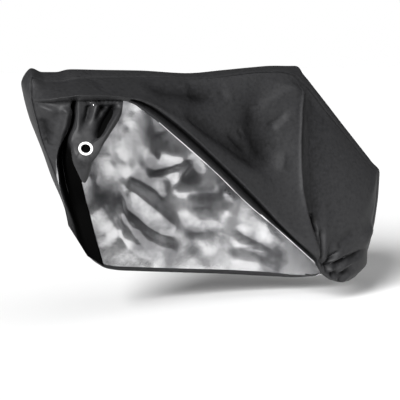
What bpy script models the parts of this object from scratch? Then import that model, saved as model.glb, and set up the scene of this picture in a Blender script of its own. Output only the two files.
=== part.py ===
"""Bicycle cover: coated cloth sewn from two side panels and a centre strip, hanging over a bicycle that stands under
it, with the near front corner tucked up and the near rear corner gathered.

Axes: +X to the rear of the cover, -Y to its near side, +Z up, metres. Tables give heights above the floor. The whole
cover is then moved so that the origin lies at the middle of the top, under the cloth.
"""

import math
from collections import namedtuple

import bpy
import numpy as np

MM = 0.001
SHEET = 2.0 * MM  # cloth thickness with its coating
HEM = 3.0 * MM  # turned and stitched hem
SEAM_GAP = 0.3 * MM  # between two panels that are sewn together
TOP_POINT = (0.10, 0.0, 1.155)  # under the top of the cover, becomes the origin

ROOF_ROWS = 12  # cells from the near seam to the lip
ROOF_BIAS = 0.92  # below 1 sets the rows closer near the lip
UNDER_ROWS = 3  # cells from the lip to the inner end of the eave or the hem band
FAR_ROWS = 12
STRIP_CELLS = 4  # cells across the centre strip

# Sections along the centre strip, from its front hem (0) over the notch (6), the nose (7), the front corner (8), the
# top and the saddle (18) to the rear hem (28). near and far: the seams to the side panels. crown: the middle.
Section = namedtuple("Section", "station near_x near_y near_z crown_x crown_y crown_z far_x far_y far_z")
SECTIONS = [
    Section(0, -0.636, -0.020, 0.491, -0.574, 0.055, 0.442, -0.506, 0.135, 0.396),
    Section(1, -0.680, -0.050, 0.620, -0.640, 0.025, 0.588, -0.570, 0.110, 0.560),
    Section(2, -0.733, -0.080, 0.733, -0.705, 0.005, 0.712, -0.648, 0.096, 0.700),
    Section(3, -0.780, -0.100, 0.830, -0.752, 0.000, 0.832, -0.700, 0.090, 0.830),
    Section(4, -0.812, -0.110, 0.900, -0.782, 0.000, 0.905, -0.730, 0.090, 0.905),
    Section(5, -0.840, -0.120, 0.985, -0.814, 0.000, 0.985, -0.762, 0.090, 0.988),
    Section(6, -0.863, -0.120, 1.087, -0.841, 0.000, 1.085, -0.790, 0.090, 1.088),
    Section(7, -0.855, -0.105, 1.130, -0.850, 0.000, 1.140, -0.794, 0.090, 1.136),
    Section(8, -0.843, -0.090, 1.170, -0.802, 0.000, 1.206, -0.770, 0.090, 1.172),
    Section(9, -0.775, -0.090, 1.147, -0.745, 0.000, 1.187, -0.730, 0.090, 1.166),
    Section(10, -0.700, -0.090, 1.146, -0.672, 0.000, 1.186, -0.670, 0.090, 1.163),
    Section(11, -0.610, -0.090, 1.158, -0.600, 0.000, 1.197, -0.600, 0.090, 1.172),
    Section(12, -0.450, -0.090, 1.160, -0.445, 0.000, 1.192, -0.445, 0.090, 1.167),
    Section(13, -0.250, -0.090, 1.158, -0.250, 0.000, 1.186, -0.250, 0.090, 1.161),
    Section(14, 0.010, -0.090, 1.146, 0.020, 0.000, 1.169, 0.025, 0.090, 1.147),
    Section(15, 0.190, -0.090, 1.158, 0.200, 0.000, 1.179, 0.200, 0.090, 1.157),
    Section(16, 0.350, -0.090, 1.171, 0.370, 0.000, 1.190, 0.370, 0.090, 1.168),
    Section(17, 0.460, -0.090, 1.172, 0.500, 0.000, 1.196, 0.500, 0.090, 1.171),
    Section(17.7, 0.558, -0.091, 1.155, 0.599, 0.000, 1.193, 0.590, 0.090, 1.168),
    Section(18, 0.595, -0.092, 1.128, 0.647, 0.000, 1.191, 0.625, 0.090, 1.160),
    Section(18.35, 0.613, -0.090, 1.113, 0.670, -0.005, 1.161, 0.655, 0.090, 1.130),
    Section(19, 0.638, -0.088, 1.098, 0.708, -0.020, 1.111, 0.694, 0.090, 1.089),
    Section(20, 0.776, -0.092, 0.953, 0.840, -0.030, 0.964, 0.814, 0.090, 0.953),
    Section(21, 0.899, -0.100, 0.824, 0.963, -0.030, 0.834, 0.942, 0.090, 0.821),
    Section(22, 1.026, -0.103, 0.694, 1.088, -0.030, 0.703, 1.063, 0.090, 0.697),
    Section(23, 1.080, -0.101, 0.634, 1.142, -0.030, 0.642, 1.110, 0.090, 0.640),
    Section(24, 1.081, -0.096, 0.535, 1.136, -0.030, 0.529, 1.116, 0.090, 0.540),
    Section(25, 1.066, -0.092, 0.422, 1.120, -0.030, 0.409, 1.103, 0.090, 0.414),
    Section(26, 1.038, -0.090, 0.303, 1.098, -0.020, 0.286, 1.073, 0.090, 0.296),
    Section(27, 1.028, -0.094, 0.190, 1.046, 0.000, 0.182, 1.037, 0.090, 0.186),
    Section(28, 0.945, -0.100, 0.118, 0.952, 0.000, 0.108, 0.948, 0.096, 0.114),
]
FRONT_HEM, NOTCH, CORNER, REAR_HEM = 0, 6, 8, 28

# Lower edge of the near panel for each rib: from the notch along the eave, then up the slope of the lifted hem and
# round the gathered corner. lip: outer fold. edge: end of the cloth behind it (inner end of the eave, or the hem band
# that looks out below the lip). belly: how far the rib swells outward. bow: how far it bends to the front.
NearEdge = namedtuple("NearEdge", "station lip_x lip_y lip_z edge_x edge_y edge_z belly bow")
NEAR_EDGES = [
    NearEdge(8.0, -0.866, -0.124, 1.080, -0.861, -0.121, 1.066, 0.000, 0.000),
    NearEdge(8.5, -0.846, -0.190, 1.079, -0.835, -0.170, 1.067, 0.000, 0.000),
    NearEdge(9.0, -0.822, -0.228, 1.080, -0.802, -0.203, 1.066, 0.003, 0.000),
    NearEdge(9.6, -0.783, -0.256, 1.087, -0.758, -0.226, 1.070, 0.005, 0.000),
    NearEdge(10.0, -0.757, -0.266, 1.090, -0.728, -0.238, 1.071, 0.007, 0.000),
    NearEdge(10.5, -0.730, -0.276, 1.093, -0.690, -0.186, 1.066, 0.008, 0.000),
    NearEdge(11.0, -0.697, -0.284, 1.095, -0.702, -0.256, 1.070, 0.009, 0.000),
    NearEdge(11.5, -0.583, -0.292, 1.092, -0.600, -0.262, 1.070, 0.010, 0.000),
    NearEdge(12.0, -0.490, -0.292, 1.081, -0.488, -0.270, 1.066, 0.012, 0.000),
    NearEdge(12.6, -0.424, -0.290, 1.066, -0.437, -0.262, 1.052, 0.014, 0.000),
    NearEdge(13.2, -0.350, -0.284, 1.040, -0.346, -0.262, 0.993, 0.016, 0.000),
    NearEdge(14.0, -0.174, -0.274, 0.929, -0.205, -0.256, 0.886, 0.018, 0.000),
    NearEdge(15.0, 0.038, -0.264, 0.759, 0.010, -0.248, 0.716, 0.018, 0.000),
    NearEdge(16.0, 0.225, -0.252, 0.600, 0.190, -0.240, 0.560, 0.022, 0.020),
    NearEdge(17.0, 0.430, -0.232, 0.412, 0.400, -0.226, 0.402, 0.030, 0.060),
    NearEdge(18.0, 0.632, -0.204, 0.248, 0.612, -0.202, 0.236, 0.040, 0.085),
    NearEdge(20.0, 0.682, -0.184, 0.190, 0.674, -0.176, 0.178, 0.060, 0.020),
    NearEdge(22.0, 0.720, -0.172, 0.160, 0.716, -0.160, 0.150, 0.062, 0.000),
    NearEdge(24.0, 0.768, -0.158, 0.130, 0.766, -0.142, 0.126, 0.056, 0.000),
    NearEdge(26.0, 0.828, -0.138, 0.109, 0.830, -0.120, 0.112, 0.044, 0.000),
    NearEdge(28.0, 0.900, -0.112, 0.106, 0.904, -0.098, 0.116, 0.006, 0.000),
]
FOLD_STATION, VALLEY_STATION, FLAP_STATION, FLAP_END = 10.0, 10.5, 11.0, 12.0
KNOT_START, KNOT_END = 17.0, 19.0  # stations between which the hem band rolls into the gathered corner
EAVE_FADE = 0.8  # stations over which the eave turns into the hem band
SWELL_BIAS = 0.8  # below 1 sets a rib's fullest point nearer the seam
SWELL_RISE = 0.35  # part of a rib's swell that lifts it
HEM_TUCK = (0.0, 0.032, 0.006)  # how the cloth dips in between the lip and the hem band
EAVE_DROP = (0.0, 0.0, -0.005)  # how the eave's underside hangs between its two edges
FRONT_SWELL = 0.10  # of the width of the near front, from the seam to its fold

# Near front below the eave, for the sections down the front: the cloth runs from the seam to a standing fold, turns in
# to a deep valley and comes out again at the lock corner (above section 2) or ends at its own hem (below it).
Front = namedtuple("Front", "station fold_x fold_y fold_z valley_x valley_y valley_z end_x end_y end_z")
FRONTS = [
    Front(0.0, -0.606, -0.008, 0.450, -0.520, 0.020, 0.335, -0.424, 0.040, 0.278),
    Front(0.6, -0.648, -0.042, 0.548, -0.560, 0.008, 0.450, -0.488, 0.000, 0.430),
    Front(1.2, -0.704, -0.088, 0.642, -0.610, -0.005, 0.580, -0.560, -0.060, 0.585),
    Front(2.0, -0.742, -0.124, 0.742, -0.650, -0.020, 0.705, -0.700, -0.258, 0.742),
    Front(3.0, -0.758, -0.156, 0.832, -0.674, -0.040, 0.820, -0.738, -0.262, 0.826),
    Front(4.0, -0.748, -0.188, 0.903, -0.674, -0.060, 0.895, -0.742, -0.254, 0.893),
    Front(5.0, -0.734, -0.212, 0.975, -0.668, -0.090, 0.975, -0.710, -0.252, 0.975),
    Front(6.0, -0.728, -0.238, 1.071, -0.690, -0.186, 1.066, -0.702, -0.256, 1.070),
]
FLAP_TIP = 2.0
UNDER_NOTCH = 5.86  # inner end of the eave, on the seam

# Free hem of the lock corner and how far the corner swells outward, for the same sections.
Flap = namedtuple("Flap", "station hem_x hem_y hem_z belly sag")
FLAPS = [
    Flap(2.0, -0.660, -0.272, 0.752, 0.000, 0.034),
    Flap(2.5, -0.668, -0.304, 0.785, 0.022, 0.010),
    Flap(3.2, -0.645, -0.322, 0.842, 0.030, 0.000),
    Flap(4.0, -0.590, -0.318, 0.915, 0.012, 0.000),
    Flap(5.0, -0.512, -0.296, 1.008, 0.004, 0.000),
    Flap(6.0, -0.488, -0.270, 1.066, 0.000, 0.000),
]

# Far panel: hem under each rib, how far the rib first runs out along the roof and how much of that run leads to the
# rear, and how far it hangs outside its hem.
FarHem = namedtuple("FarHem", "station x y z reach lead belly")
FAR_HEMS = [
    FarHem(0.0, -0.475, 0.150, 0.352, 0.010, 0.75, 0.004),
    FarHem(2.0, -0.425, 0.195, 0.305, 0.060, 0.75, 0.010),
    FarHem(4.0, -0.385, 0.225, 0.275, 0.120, 0.75, 0.020),
    FarHem(6.0, -0.345, 0.245, 0.250, 0.160, 0.75, 0.026),
    FarHem(8.0, -0.300, 0.262, 0.226, 0.180, 0.75, 0.030),
    FarHem(10.0, -0.225, 0.274, 0.206, 0.210, 0.50, 0.034),
    FarHem(12.0, -0.080, 0.284, 0.186, 0.220, 0.00, 0.036),
    FarHem(14.0, 0.160, 0.288, 0.157, 0.190, 0.00, 0.030),
    FarHem(16.0, 0.390, 0.284, 0.130, 0.160, 0.00, 0.024),
    FarHem(18.0, 0.600, 0.262, 0.104, 0.130, 0.00, 0.024),
    FarHem(20.0, 0.700, 0.236, 0.094, 0.120, 0.00, 0.030),
    FarHem(23.0, 0.800, 0.200, 0.086, 0.110, 0.00, 0.040),
    FarHem(26.0, 0.870, 0.164, 0.088, 0.080, 0.00, 0.034),
    FarHem(28.0, 0.912, 0.122, 0.106, 0.010, 0.00, 0.004),
]

FAR_OUT, FAR_DOWN = 1.15, -0.30  # the way a rib leaves the seam, for each metre of reach
FAR_LEAN = (0.55, 0.0, 0.62)  # how it comes down to its hem, as parts of the way up to the seam
FAR_BELLY = 1.6

# Creases and soft troughs, drawn as lines in the side view. depth > 0 stands out, depth < 0 lies in.
Crease = namedtuple("Crease", "name x0 z0 x1 z1 width depth")
NEAR_FADES = (0.08, 0.05, 0.3)  # share of a rib over which creases rise from the seam, sink to the lip, stay there
FAR_FADES = (0.12, 0.12, 0.2)
NEAR_CREASES = [
    Crease("saddle facet edge", 0.520, 1.080, 0.285, 0.960, 0.055, 0.012),
    Crease("saddle facet hollow", 0.300, 0.960, 0.400, 0.700, 0.060, -0.012),
    Crease("trough above lifted hem", -0.240, 1.045, -0.040, 0.925, 0.045, -0.014),
    Crease("trough above lifted hem, rear", -0.040, 0.925, 0.200, 0.790, 0.050, -0.014),
    Crease("dip under the ridge", -0.090, 1.098, 0.160, 1.070, 0.040, -0.010),
    Crease("swell over the bag", 0.930, 0.290, 1.050, 0.390, 0.045, 0.012),
]
# Folds along the ribs, from the saddle and into the gathered corner: the rib each follows, its width in stations,
# where down the rib it starts.
Pleat = namedtuple("Pleat", "station width start depth")
PLEATS = [
    Pleat(17.80, 0.26, 0.02, 0.016),
    Pleat(18.45, 0.32, 0.02, -0.018),
    Pleat(19.20, 0.40, 0.45, -0.010),
    Pleat(20.00, 0.45, 0.50, 0.010),
    Pleat(20.90, 0.45, 0.60, -0.012),
    Pleat(22.00, 0.50, 0.65, 0.009),
    Pleat(23.10, 0.50, 0.66, -0.010),
    Pleat(24.20, 0.50, 0.60, 0.008),
    Pleat(25.40, 0.55, 0.35, -0.010),
    Pleat(26.50, 0.50, 0.40, 0.006),
]
FAR_CREASES = [
    Crease("sweep from the front", -0.330, 0.560, -0.200, 0.370, 0.060, 0.024),
    Crease("sweep to the hem", -0.200, 0.370, 0.050, 0.190, 0.060, 0.024),
    Crease("fold across the middle", -0.180, 0.620, 0.110, 0.360, 0.070, 0.026),
    Crease("pouch", 0.080, 0.560, 0.300, 0.680, 0.070, -0.028),
    Crease("roof pleat", -0.050, 0.790, 0.220, 0.740, 0.060, 0.020),
    Crease("long draw to the rear", 0.130, 0.480, 0.500, 0.440, 0.060, 0.018),
    Crease("rear draw upper", 0.450, 0.600, 0.740, 0.260, 0.060, 0.022),
    Crease("rear draw lower", 0.440, 0.330, 0.800, 0.180, 0.060, -0.020),
]

# Lock eyelet: a plastic ring whose two flanges hold the cloth between them.
EYELET_CENTRE = (-0.694, -0.306, 0.866)
EYELET_TURN = math.radians(-22.0)  # its face turned towards the front
EYELET_TILT = math.radians(28.0)  # its face turned up
HOLE_RADIUS = 20.5 * MM
BARREL_RADIUS = 22.5 * MM
CUT_RADIUS = 24.0 * MM  # hole in the cloth
FLANGE_RADIUS = 36.0 * MM
FLAT_RADIUS = 44.0 * MM  # cloth is flat inside this and free outside BLEND_RADIUS
BLEND_RADIUS = 80.0 * MM
BLOCK_RADIUS = 40.0 * MM  # cells of the corner's grid within it are left out and filled round the hole
PATCH_RADIUS = 38.0 * MM  # ring of points between that block and the hole
EYELET_SEGMENTS = 32

# Surfaces.
Surface = namedtuple("Surface", "red green blue roughness metallic")
BLACK_CLOTH = Surface(0.040, 0.041, 0.044, 0.62, 0.0)
WHITE_PLASTIC = Surface(0.80, 0.80, 0.79, 0.35, 0.0)
SHARP_CLOTH = math.radians(75.0)  # only its cut edges stay sharp
SHARP_RING = math.radians(35.0)

# Cells along each run of ribs (ridge) and of front rows (front).
Run = namedtuple("Run", "first last cells")
RIDGE_RUNS = [
    Run(CORNER, FOLD_STATION, 5),
    Run(FOLD_STATION, VALLEY_STATION, 2),
    Run(VALLEY_STATION, FLAP_STATION, 2),
    Run(FLAP_STATION, FLAP_END, 9),
    Run(FLAP_END, KNOT_START, 14),
    Run(KNOT_START, KNOT_END, 9),
    Run(KNOT_END, REAR_HEM, 25),
]
FRONT_RUNS = [
    Run(UNDER_NOTCH, FLAP_TIP, 14),
    Run(FLAP_TIP, FRONT_HEM, 6),
]


def smooth(stations, values, at):
    """Values of a table's column at any stations, by a cubic that doesn't overshoot the rows."""
    x = np.asarray(stations, float)
    y = np.asarray(values, float)
    at = np.clip(np.asarray(at, float), x[0], x[-1])
    step = np.diff(x)
    slope = np.diff(y) / step
    tangent = np.zeros(len(x))
    for k in range(1, len(x) - 1):
        if slope[k - 1] * slope[k] > 0:
            w0 = 2 * step[k] + step[k - 1]
            w1 = step[k] + 2 * step[k - 1]
            tangent[k] = (w0 + w1) / (w0 / slope[k - 1] + w1 / slope[k])
    tangent[0] = slope[0]
    tangent[-1] = slope[-1]
    k = np.clip(np.searchsorted(x, at, side="right") - 1, 0, len(x) - 2)
    h = step[k]
    t = (at - x[k]) / h
    a = y[k] * (1 + 2 * t) * (1 - t) ** 2 + tangent[k] * h * t * (1 - t) ** 2
    return a + y[k + 1] * t * t * (3 - 2 * t) + tangent[k + 1] * h * t * t * (t - 1)


def column(table, names, at):
    """Columns of a table, read at any stations."""
    stations = [row.station for row in table]
    return np.stack([smooth(stations, [getattr(row, n) for row in table], at) for n in names], -1)


def ease(t):
    t = np.clip(t, 0.0, 1.0)
    return t * t * (3 - 2 * t)


def near_seam(at):
    return column(SECTIONS, ("near_x", "near_y", "near_z"), at)


def strip_points(at):
    """The centre strip: rows along it, columns from the near seam over the crown to the far seam."""
    near = near_seam(at)
    crown = column(SECTIONS, ("crown_x", "crown_y", "crown_z"), at)
    far = column(SECTIONS, ("far_x", "far_y", "far_z"), at)
    grid = []
    for k in range(STRIP_CELLS + 1):
        s = k / STRIP_CELLS
        grid.append((1 - s) * (1 - 2 * s) * near + 4 * s * (1 - s) * crown + s * (2 * s - 1) * far)
    return np.stack(grid, 1)


def stations_along(first, last, cells):
    """Stations spaced evenly along the near seam."""
    fine = np.linspace(first, last, 200)
    points = near_seam(fine)
    length = np.concatenate([[0], np.cumsum(np.linalg.norm(np.diff(points, axis=0), axis=1))])
    return np.interp(np.linspace(0, length[-1], cells + 1), length, fine)


def spaced(runs):
    """Stations that pass through the ends of each run, spaced evenly between them."""
    parts = [stations_along(run.first, run.last, run.cells) for run in runs]
    return np.concatenate([parts[0]] + [p[1:] for p in parts[1:]])


def crease_depth(creases, x, z):
    """Sum of the creases' depths at points of the side view."""
    total = np.zeros(np.shape(x))
    for c in creases:
        run = math.hypot(c.x1 - c.x0, c.z1 - c.z0)
        ux = (c.x1 - c.x0) / run
        uz = (c.z1 - c.z0) / run
        along = (x - c.x0) * ux + (z - c.z0) * uz
        across = np.abs((z - c.z0) * ux - (x - c.x0) * uz)
        ends = ease((along + c.width) / (2 * c.width)) * ease((run + c.width - along) / (2 * c.width))
        total = total + c.depth * ends * np.exp(-((across / c.width) ** 2))
    return total


def fades(rows, shares):
    """Strength of the creases along a rib: none at the seam, full between, some kept at the hem."""
    rise, sink, kept = shares
    return ease(rows / rise) * ease((1.0 - rows) / sink + kept)


def grid_normals(grid):
    """Unit normals of a grid of points."""
    down = np.gradient(grid, axis=0)
    along = np.gradient(grid, axis=1)
    n = np.cross(along, down)
    return n / np.maximum(np.linalg.norm(n, axis=2), 1e-9)[..., None]


def near_points(cols, rows):
    """The near panel's ribs from the seam to the lip, then under it to the edge."""
    seam = near_seam(cols)
    lip = column(NEAR_EDGES, ("lip_x", "lip_y", "lip_z"), cols)
    edge = column(NEAR_EDGES, ("edge_x", "edge_y", "edge_z"), cols)
    shape = column(NEAR_EDGES, ("belly", "bow"), cols)
    out = np.zeros((len(rows), len(cols), 3))
    for i, v in enumerate(rows):
        swell = shape[:, 0] * math.sin(math.pi * v**SWELL_BIAS)
        bow = shape[:, 1] * math.sin(math.pi * v)
        out[i] = seam + (lip - seam) * v + np.stack([-bow, -swell, SWELL_RISE * swell], -1)
    depth = crease_depth(NEAR_CREASES, out[..., 0], out[..., 2])
    lift = (depth + gather_depth(cols, rows)) * fades(rows, NEAR_FADES)[:, None]
    out = out - grid_normals(out) * lift[..., None]
    out[0] = seam
    return out, lip, edge


def gather_depth(cols, rows):
    """Pleats drawn in by the elastic at the gathered corner, deeper towards the hem."""
    total = np.zeros((len(rows), len(cols)))
    for p in PLEATS:
        across = np.exp(-(((cols - p.station) / p.width) ** 2))
        along = ease((rows - p.start) / (1.0 - p.start))
        total = total + p.depth * along[:, None] * across[None, :]
    return total


def under_rows(cols, lip, edge):
    """Rows that round the lip and run behind it to the edge."""
    eave = 1 - ease((cols - FLAP_END) / EAVE_FADE)[:, None]
    band = (1 - eave) * (1 - ease((cols - KNOT_START) / (KNOT_END - KNOT_START)))[:, None]
    out = []
    for k in range(1, UNDER_ROWS + 1):
        t = k / UNDER_ROWS
        arch = math.sin(math.pi * t)
        straight = lip * (1 - t) + edge * t
        out.append(straight + band * np.array(HEM_TUCK) * arch * (1 - t) + eave * np.array(EAVE_DROP) * arch)
    return np.stack(out)


def front_points(cols, downs):
    """Near front below the eave: rows down the sections, columns from the seam to the lock corner."""
    seam = near_seam(downs)
    fold = column(FRONTS, ("fold_x", "fold_y", "fold_z"), downs)
    valley = column(FRONTS, ("valley_x", "valley_y", "valley_z"), downs)
    end = column(FRONTS, ("end_x", "end_y", "end_z"), downs)
    stops = [CORNER, FOLD_STATION, VALLEY_STATION, FLAP_STATION]
    out = np.zeros((len(downs), len(cols), 3))
    for i in range(len(downs)):
        points = np.stack([seam[i], fold[i], valley[i], end[i]])
        for k in range(3):
            out[i, :, k] = np.interp(cols, stops, points[:, k])
        span = np.linalg.norm(fold[i] - seam[i])
        across = np.clip((cols - CORNER) / (FOLD_STATION - CORNER), 0, 1)
        swell = FRONT_SWELL * span * np.sin(math.pi * across)
        out[i, :, 1] -= swell
        out[i, :, 0] -= 0.5 * swell
    return out


def flap_points(cols, downs, left):
    """Lock corner: rows down from the eave, columns from the valley's end to the free hem."""
    hem = column(FLAPS, ("hem_x", "hem_y", "hem_z"), downs)
    shape = column(FLAPS, ("belly", "sag"), downs)
    s = (cols - FLAP_STATION) / (FLAP_END - FLAP_STATION)
    out = left[:, None, :] * (1 - s)[None, :, None] + hem[:, None, :] * s[None, :, None]
    arch = np.sin(math.pi * s)
    out[..., 1] -= shape[:, 0:1] * arch[None, :]
    out[..., 2] -= shape[:, 1:2] * arch[None, :]
    return out


def eyelet_axes():
    n = np.array([
        math.sin(EYELET_TURN) * math.cos(EYELET_TILT),
        -math.cos(EYELET_TURN) * math.cos(EYELET_TILT),
        math.sin(EYELET_TILT),
    ])
    side = np.array([math.cos(EYELET_TURN), math.sin(EYELET_TURN), 0.0])
    return side, np.cross(n, side), n


def flatten_round_eyelet(grid):
    """Lay the cloth flat where the eyelet's flanges hold it."""
    n = eyelet_axes()[2]
    offset = grid - np.array(EYELET_CENTRE)
    height = offset @ n
    plane = grid - height[..., None] * n
    distance = np.linalg.norm(plane - np.array(EYELET_CENTRE), axis=-1)
    w = 1 - ease((distance - FLAT_RADIUS) / (BLEND_RADIUS - FLAT_RADIUS))
    return grid * (1 - w[..., None]) + plane * w[..., None]


def far_points(cols, seam):
    """The far panel's ribs: out along the roof, then down to the hem."""
    hem = column(FAR_HEMS, ("x", "y", "z"), cols)
    shape = column(FAR_HEMS, ("reach", "lead", "belly"), cols)
    run_out = np.stack([shape[:, 1], np.full(len(cols), FAR_OUT), np.full(len(cols), FAR_DOWN)], -1)
    turn = seam + shape[:, 0:1] * run_out
    low = hem + (seam - hem) * np.array(FAR_LEAN) + shape[:, 2:3] * np.array([0.0, FAR_BELLY, 0.0])
    rows = np.linspace(0, 1, FAR_ROWS + 1)
    out = np.zeros((len(rows), len(cols), 3))
    for i, v in enumerate(rows):
        out[i] = seam * (1 - v) ** 3 + turn * 3 * v * (1 - v) ** 2 + low * 3 * v * v * (1 - v) + hem * v**3
    depth = crease_depth(FAR_CREASES, out[..., 0], out[..., 2])
    ends = ease(cols / 2.0) * ease((REAR_HEM - cols) / 2.0)
    out = out - grid_normals(out) * (depth * fades(rows, FAR_FADES)[:, None] * ends[None, :])[..., None]
    out[0] = seam
    return out


class Sheet:
    """Middle surface of one panel: points welded by place, and quads that face outward."""

    def __init__(self, name):
        self.name = name
        self.points = []
        self.faces = []
        self.index = {}
        self.cut = set()  # edge of a hole, not hemmed

    def vertex(self, p):
        key = tuple(np.round(p, 6))
        if key not in self.index:
            self.index[key] = len(self.points)
            self.points.append(np.array(p, float))
        return self.index[key]

    def add_grid(self, grid, flip, skip=()):
        for r in range(len(grid) - 1):
            for c in range(len(grid[0]) - 1):
                if (r, c) in skip:
                    continue
                corners = (grid[r][c], grid[r][c + 1], grid[r + 1][c + 1], grid[r + 1][c])
                quad = [self.vertex(p) for p in corners]
                self.faces.append(quad[::-1] if flip else quad)

    def triangles(self):
        """Each quad cut along its shorter diagonal."""
        out = []
        for f in self.faces:
            if len(f) == 3:
                out.append(tuple(f))
                continue
            p = [self.points[k] for k in f]
            if np.linalg.norm(p[0] - p[2]) <= np.linalg.norm(p[1] - p[3]):
                out += [(f[0], f[1], f[2]), (f[0], f[2], f[3])]
            else:
                out += [(f[0], f[1], f[3]), (f[1], f[2], f[3])]
        return out

    def keys(self):
        return [tuple(np.round(p, 6)) for p in self.points]

    def boundary(self):
        edges = {}
        for f in self.faces:
            for a, b in zip(f, f[1:] + f[:1]):
                edges[(a, b)] = edges.get((a, b), 0) + 1
        return [e for e in edges if (e[1], e[0]) not in edges]


def face_normal(points, face):
    p = [points[k] for k in face]
    if len(p) == 4:
        return np.cross(p[2] - p[0], p[3] - p[1])
    return np.cross(p[1] - p[0], p[2] - p[0])


def shared_normals(sheets):
    """One normal for each place, shared by all panels that meet there."""
    total = {}
    for sheet in sheets:
        keys = sheet.keys()
        for f in sheet.faces:
            n = face_normal(sheet.points, f)
            n = n / max(np.linalg.norm(n), 1e-12)
            for k in f:
                total[keys[k]] = total.get(keys[k], 0) + n
    return {k: n / max(np.linalg.norm(n), 1e-9) for k, n in total.items()}


def seam_edges(sheets):
    """Boundary edges that two panels share."""
    owners = {}
    for sheet in sheets:
        keys = sheet.keys()
        for a, b in sheet.boundary():
            owners.setdefault(frozenset((keys[a], keys[b])), set()).add(sheet.name)
    return {e for e, names in owners.items() if len(names) > 1}


def inset_seams(sheet, normals, seams):
    """Middle surface with its sewn edges drawn back by half the seam gap."""
    keys = sheet.keys()
    pulls = {}
    for a, b in sheet.boundary():
        if frozenset((keys[a], keys[b])) not in seams:
            continue
        run = sheet.points[b] - sheet.points[a]
        for k in (a, b):
            pull = np.cross(normals[keys[k]], run)
            pulls.setdefault(k, []).append(pull / np.linalg.norm(pull))
    out = [p.copy() for p in sheet.points]
    for k, found in pulls.items():
        if len(found) == 2:
            d = (found[0] + found[1]) / max(1 + found[0] @ found[1], 0.25)
        else:
            d = found[0]
        out[k] = out[k] + 0.5 * SEAM_GAP * d
    return out


def solid_from_sheet(sheet, normals, seams):
    """A closed solid round one panel, a little thicker at its free hems."""
    keys = sheet.keys()
    middle = inset_seams(sheet, normals, seams)
    hem = set()
    for a, b in sheet.boundary():
        if frozenset((keys[a], keys[b])) not in seams:
            hem.update((a, b))
    sewn = {k for e in seams for k in e}
    count = len(middle)
    points = []
    for side in (0.5, -0.5):
        for k, p in enumerate(middle):
            turned = k in hem and keys[k] not in sewn and k not in sheet.cut
            points.append(p + normals[keys[k]] * side * (HEM if turned else SHEET))
    surface = sheet.triangles()
    faces = [list(f) for f in surface]
    faces += [[k + count for k in f[::-1]] for f in surface]
    for a, b in sheet.boundary():
        if keys[a] < keys[b]:
            faces += [[b, a, b + count], [a, a + count, b + count]]
        else:
            faces += [[b, a, a + count], [b, a + count, b + count]]
    return points, faces


def make_material(name, surface):
    made = bpy.data.materials.new(name)
    made.use_nodes = True
    shader = made.node_tree.nodes["Principled BSDF"]
    shader.inputs["Base Color"].default_value = (surface.red, surface.green, surface.blue, 1.0)
    shader.inputs["Roughness"].default_value = surface.roughness
    shader.inputs["Metallic"].default_value = surface.metallic
    return made


def make_object(name, points, faces, surface, sharp):
    shift = np.array(TOP_POINT)
    mesh = bpy.data.meshes.new(name)
    mesh.from_pydata([tuple(np.array(p) - shift) for p in points], [], faces)
    mesh.update()
    mesh.shade_smooth()
    mesh.set_sharp_from_angle(angle=sharp)
    mesh.materials.append(make_material(name, surface))
    made = bpy.data.objects.new(name, mesh)
    bpy.context.collection.objects.link(made)


def turned_ring(name, profile):
    """A ring turned round the eyelet's axis from a closed profile of (radius, height)."""
    side, up, n = eyelet_axes()
    points = []
    faces = []
    size = len(profile)
    for s in range(EYELET_SEGMENTS):
        a = 2 * math.pi * s / EYELET_SEGMENTS
        spoke = side * math.cos(a) + up * math.sin(a)
        for radius, height in profile:
            points.append(np.array(EYELET_CENTRE) + spoke * radius + n * height)
    for s in range(EYELET_SEGMENTS):
        t = (s + 1) % EYELET_SEGMENTS
        for k in range(size):
            m = (k + 1) % size
            faces.append([s * size + k, t * size + k, t * size + m, s * size + m])
    make_object(name, points, faces, WHITE_PLASTIC, SHARP_RING)


def eyelet_profile():
    """Section of the ring: a rounded front flange, the barrel, and a flat back flange."""
    gap = 0.5 * SHEET + SEAM_GAP
    back = FLANGE_RADIUS - 2.0 * MM
    return [
        (HOLE_RADIUS, -gap - 1.0 * MM),
        (HOLE_RADIUS + 2.0 * MM, -gap - 1.6 * MM),
        (back, -gap - 0.6 * MM),
        (back, -gap),
        (BARREL_RADIUS, -gap),
        (BARREL_RADIUS, gap),
        (FLANGE_RADIUS, gap),
        (FLANGE_RADIUS, gap + 0.4 * MM),
        (FLANGE_RADIUS - 5.0 * MM, gap + 2.2 * MM),
        (HOLE_RADIUS + 2.5 * MM, gap + 2.4 * MM),
        (HOLE_RADIUS, gap + 1.2 * MM),
    ]


def cut_hole(sheet, grid, rows, cols):
    """Fill a block left out of the grid by a flat patch with a round hole."""
    loop = [sheet.vertex(grid[rows[0]][c]) for c in range(cols[0], cols[1])]
    loop += [sheet.vertex(grid[r][cols[1]]) for r in range(rows[0], rows[1])]
    loop += [sheet.vertex(grid[rows[1]][c]) for c in range(cols[1], cols[0], -1)]
    loop += [sheet.vertex(grid[r][cols[0]]) for r in range(rows[1], rows[0], -1)]
    side, up, n = eyelet_axes()
    centre = np.array(EYELET_CENTRE)
    around = [math.atan2((sheet.points[k] - centre) @ up, (sheet.points[k] - centre) @ side) for k in loop]
    around = np.unwrap(around)
    even = around[0] + np.sign(around[-1] - around[0]) * 2 * math.pi * np.arange(len(loop)) / len(loop)
    rings = [loop]
    for radius, mix in ((PATCH_RADIUS, 0.5), (CUT_RADIUS, 1.0)):
        ring = []
        for k in range(len(loop)):
            a = around[k] * (1 - mix) + (even[k] + np.mean(around - even)) * mix
            ring.append(sheet.vertex(centre + radius * (side * math.cos(a) + up * math.sin(a))))
        rings.append(ring)
    sheet.cut = set(rings[-1])
    for outer, inner in zip(rings[:-1], rings[1:]):
        for k in range(len(loop)):
            m = (k + 1) % len(loop)
            sheet.faces.append([outer[m], outer[k], inner[k], inner[m]])


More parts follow.
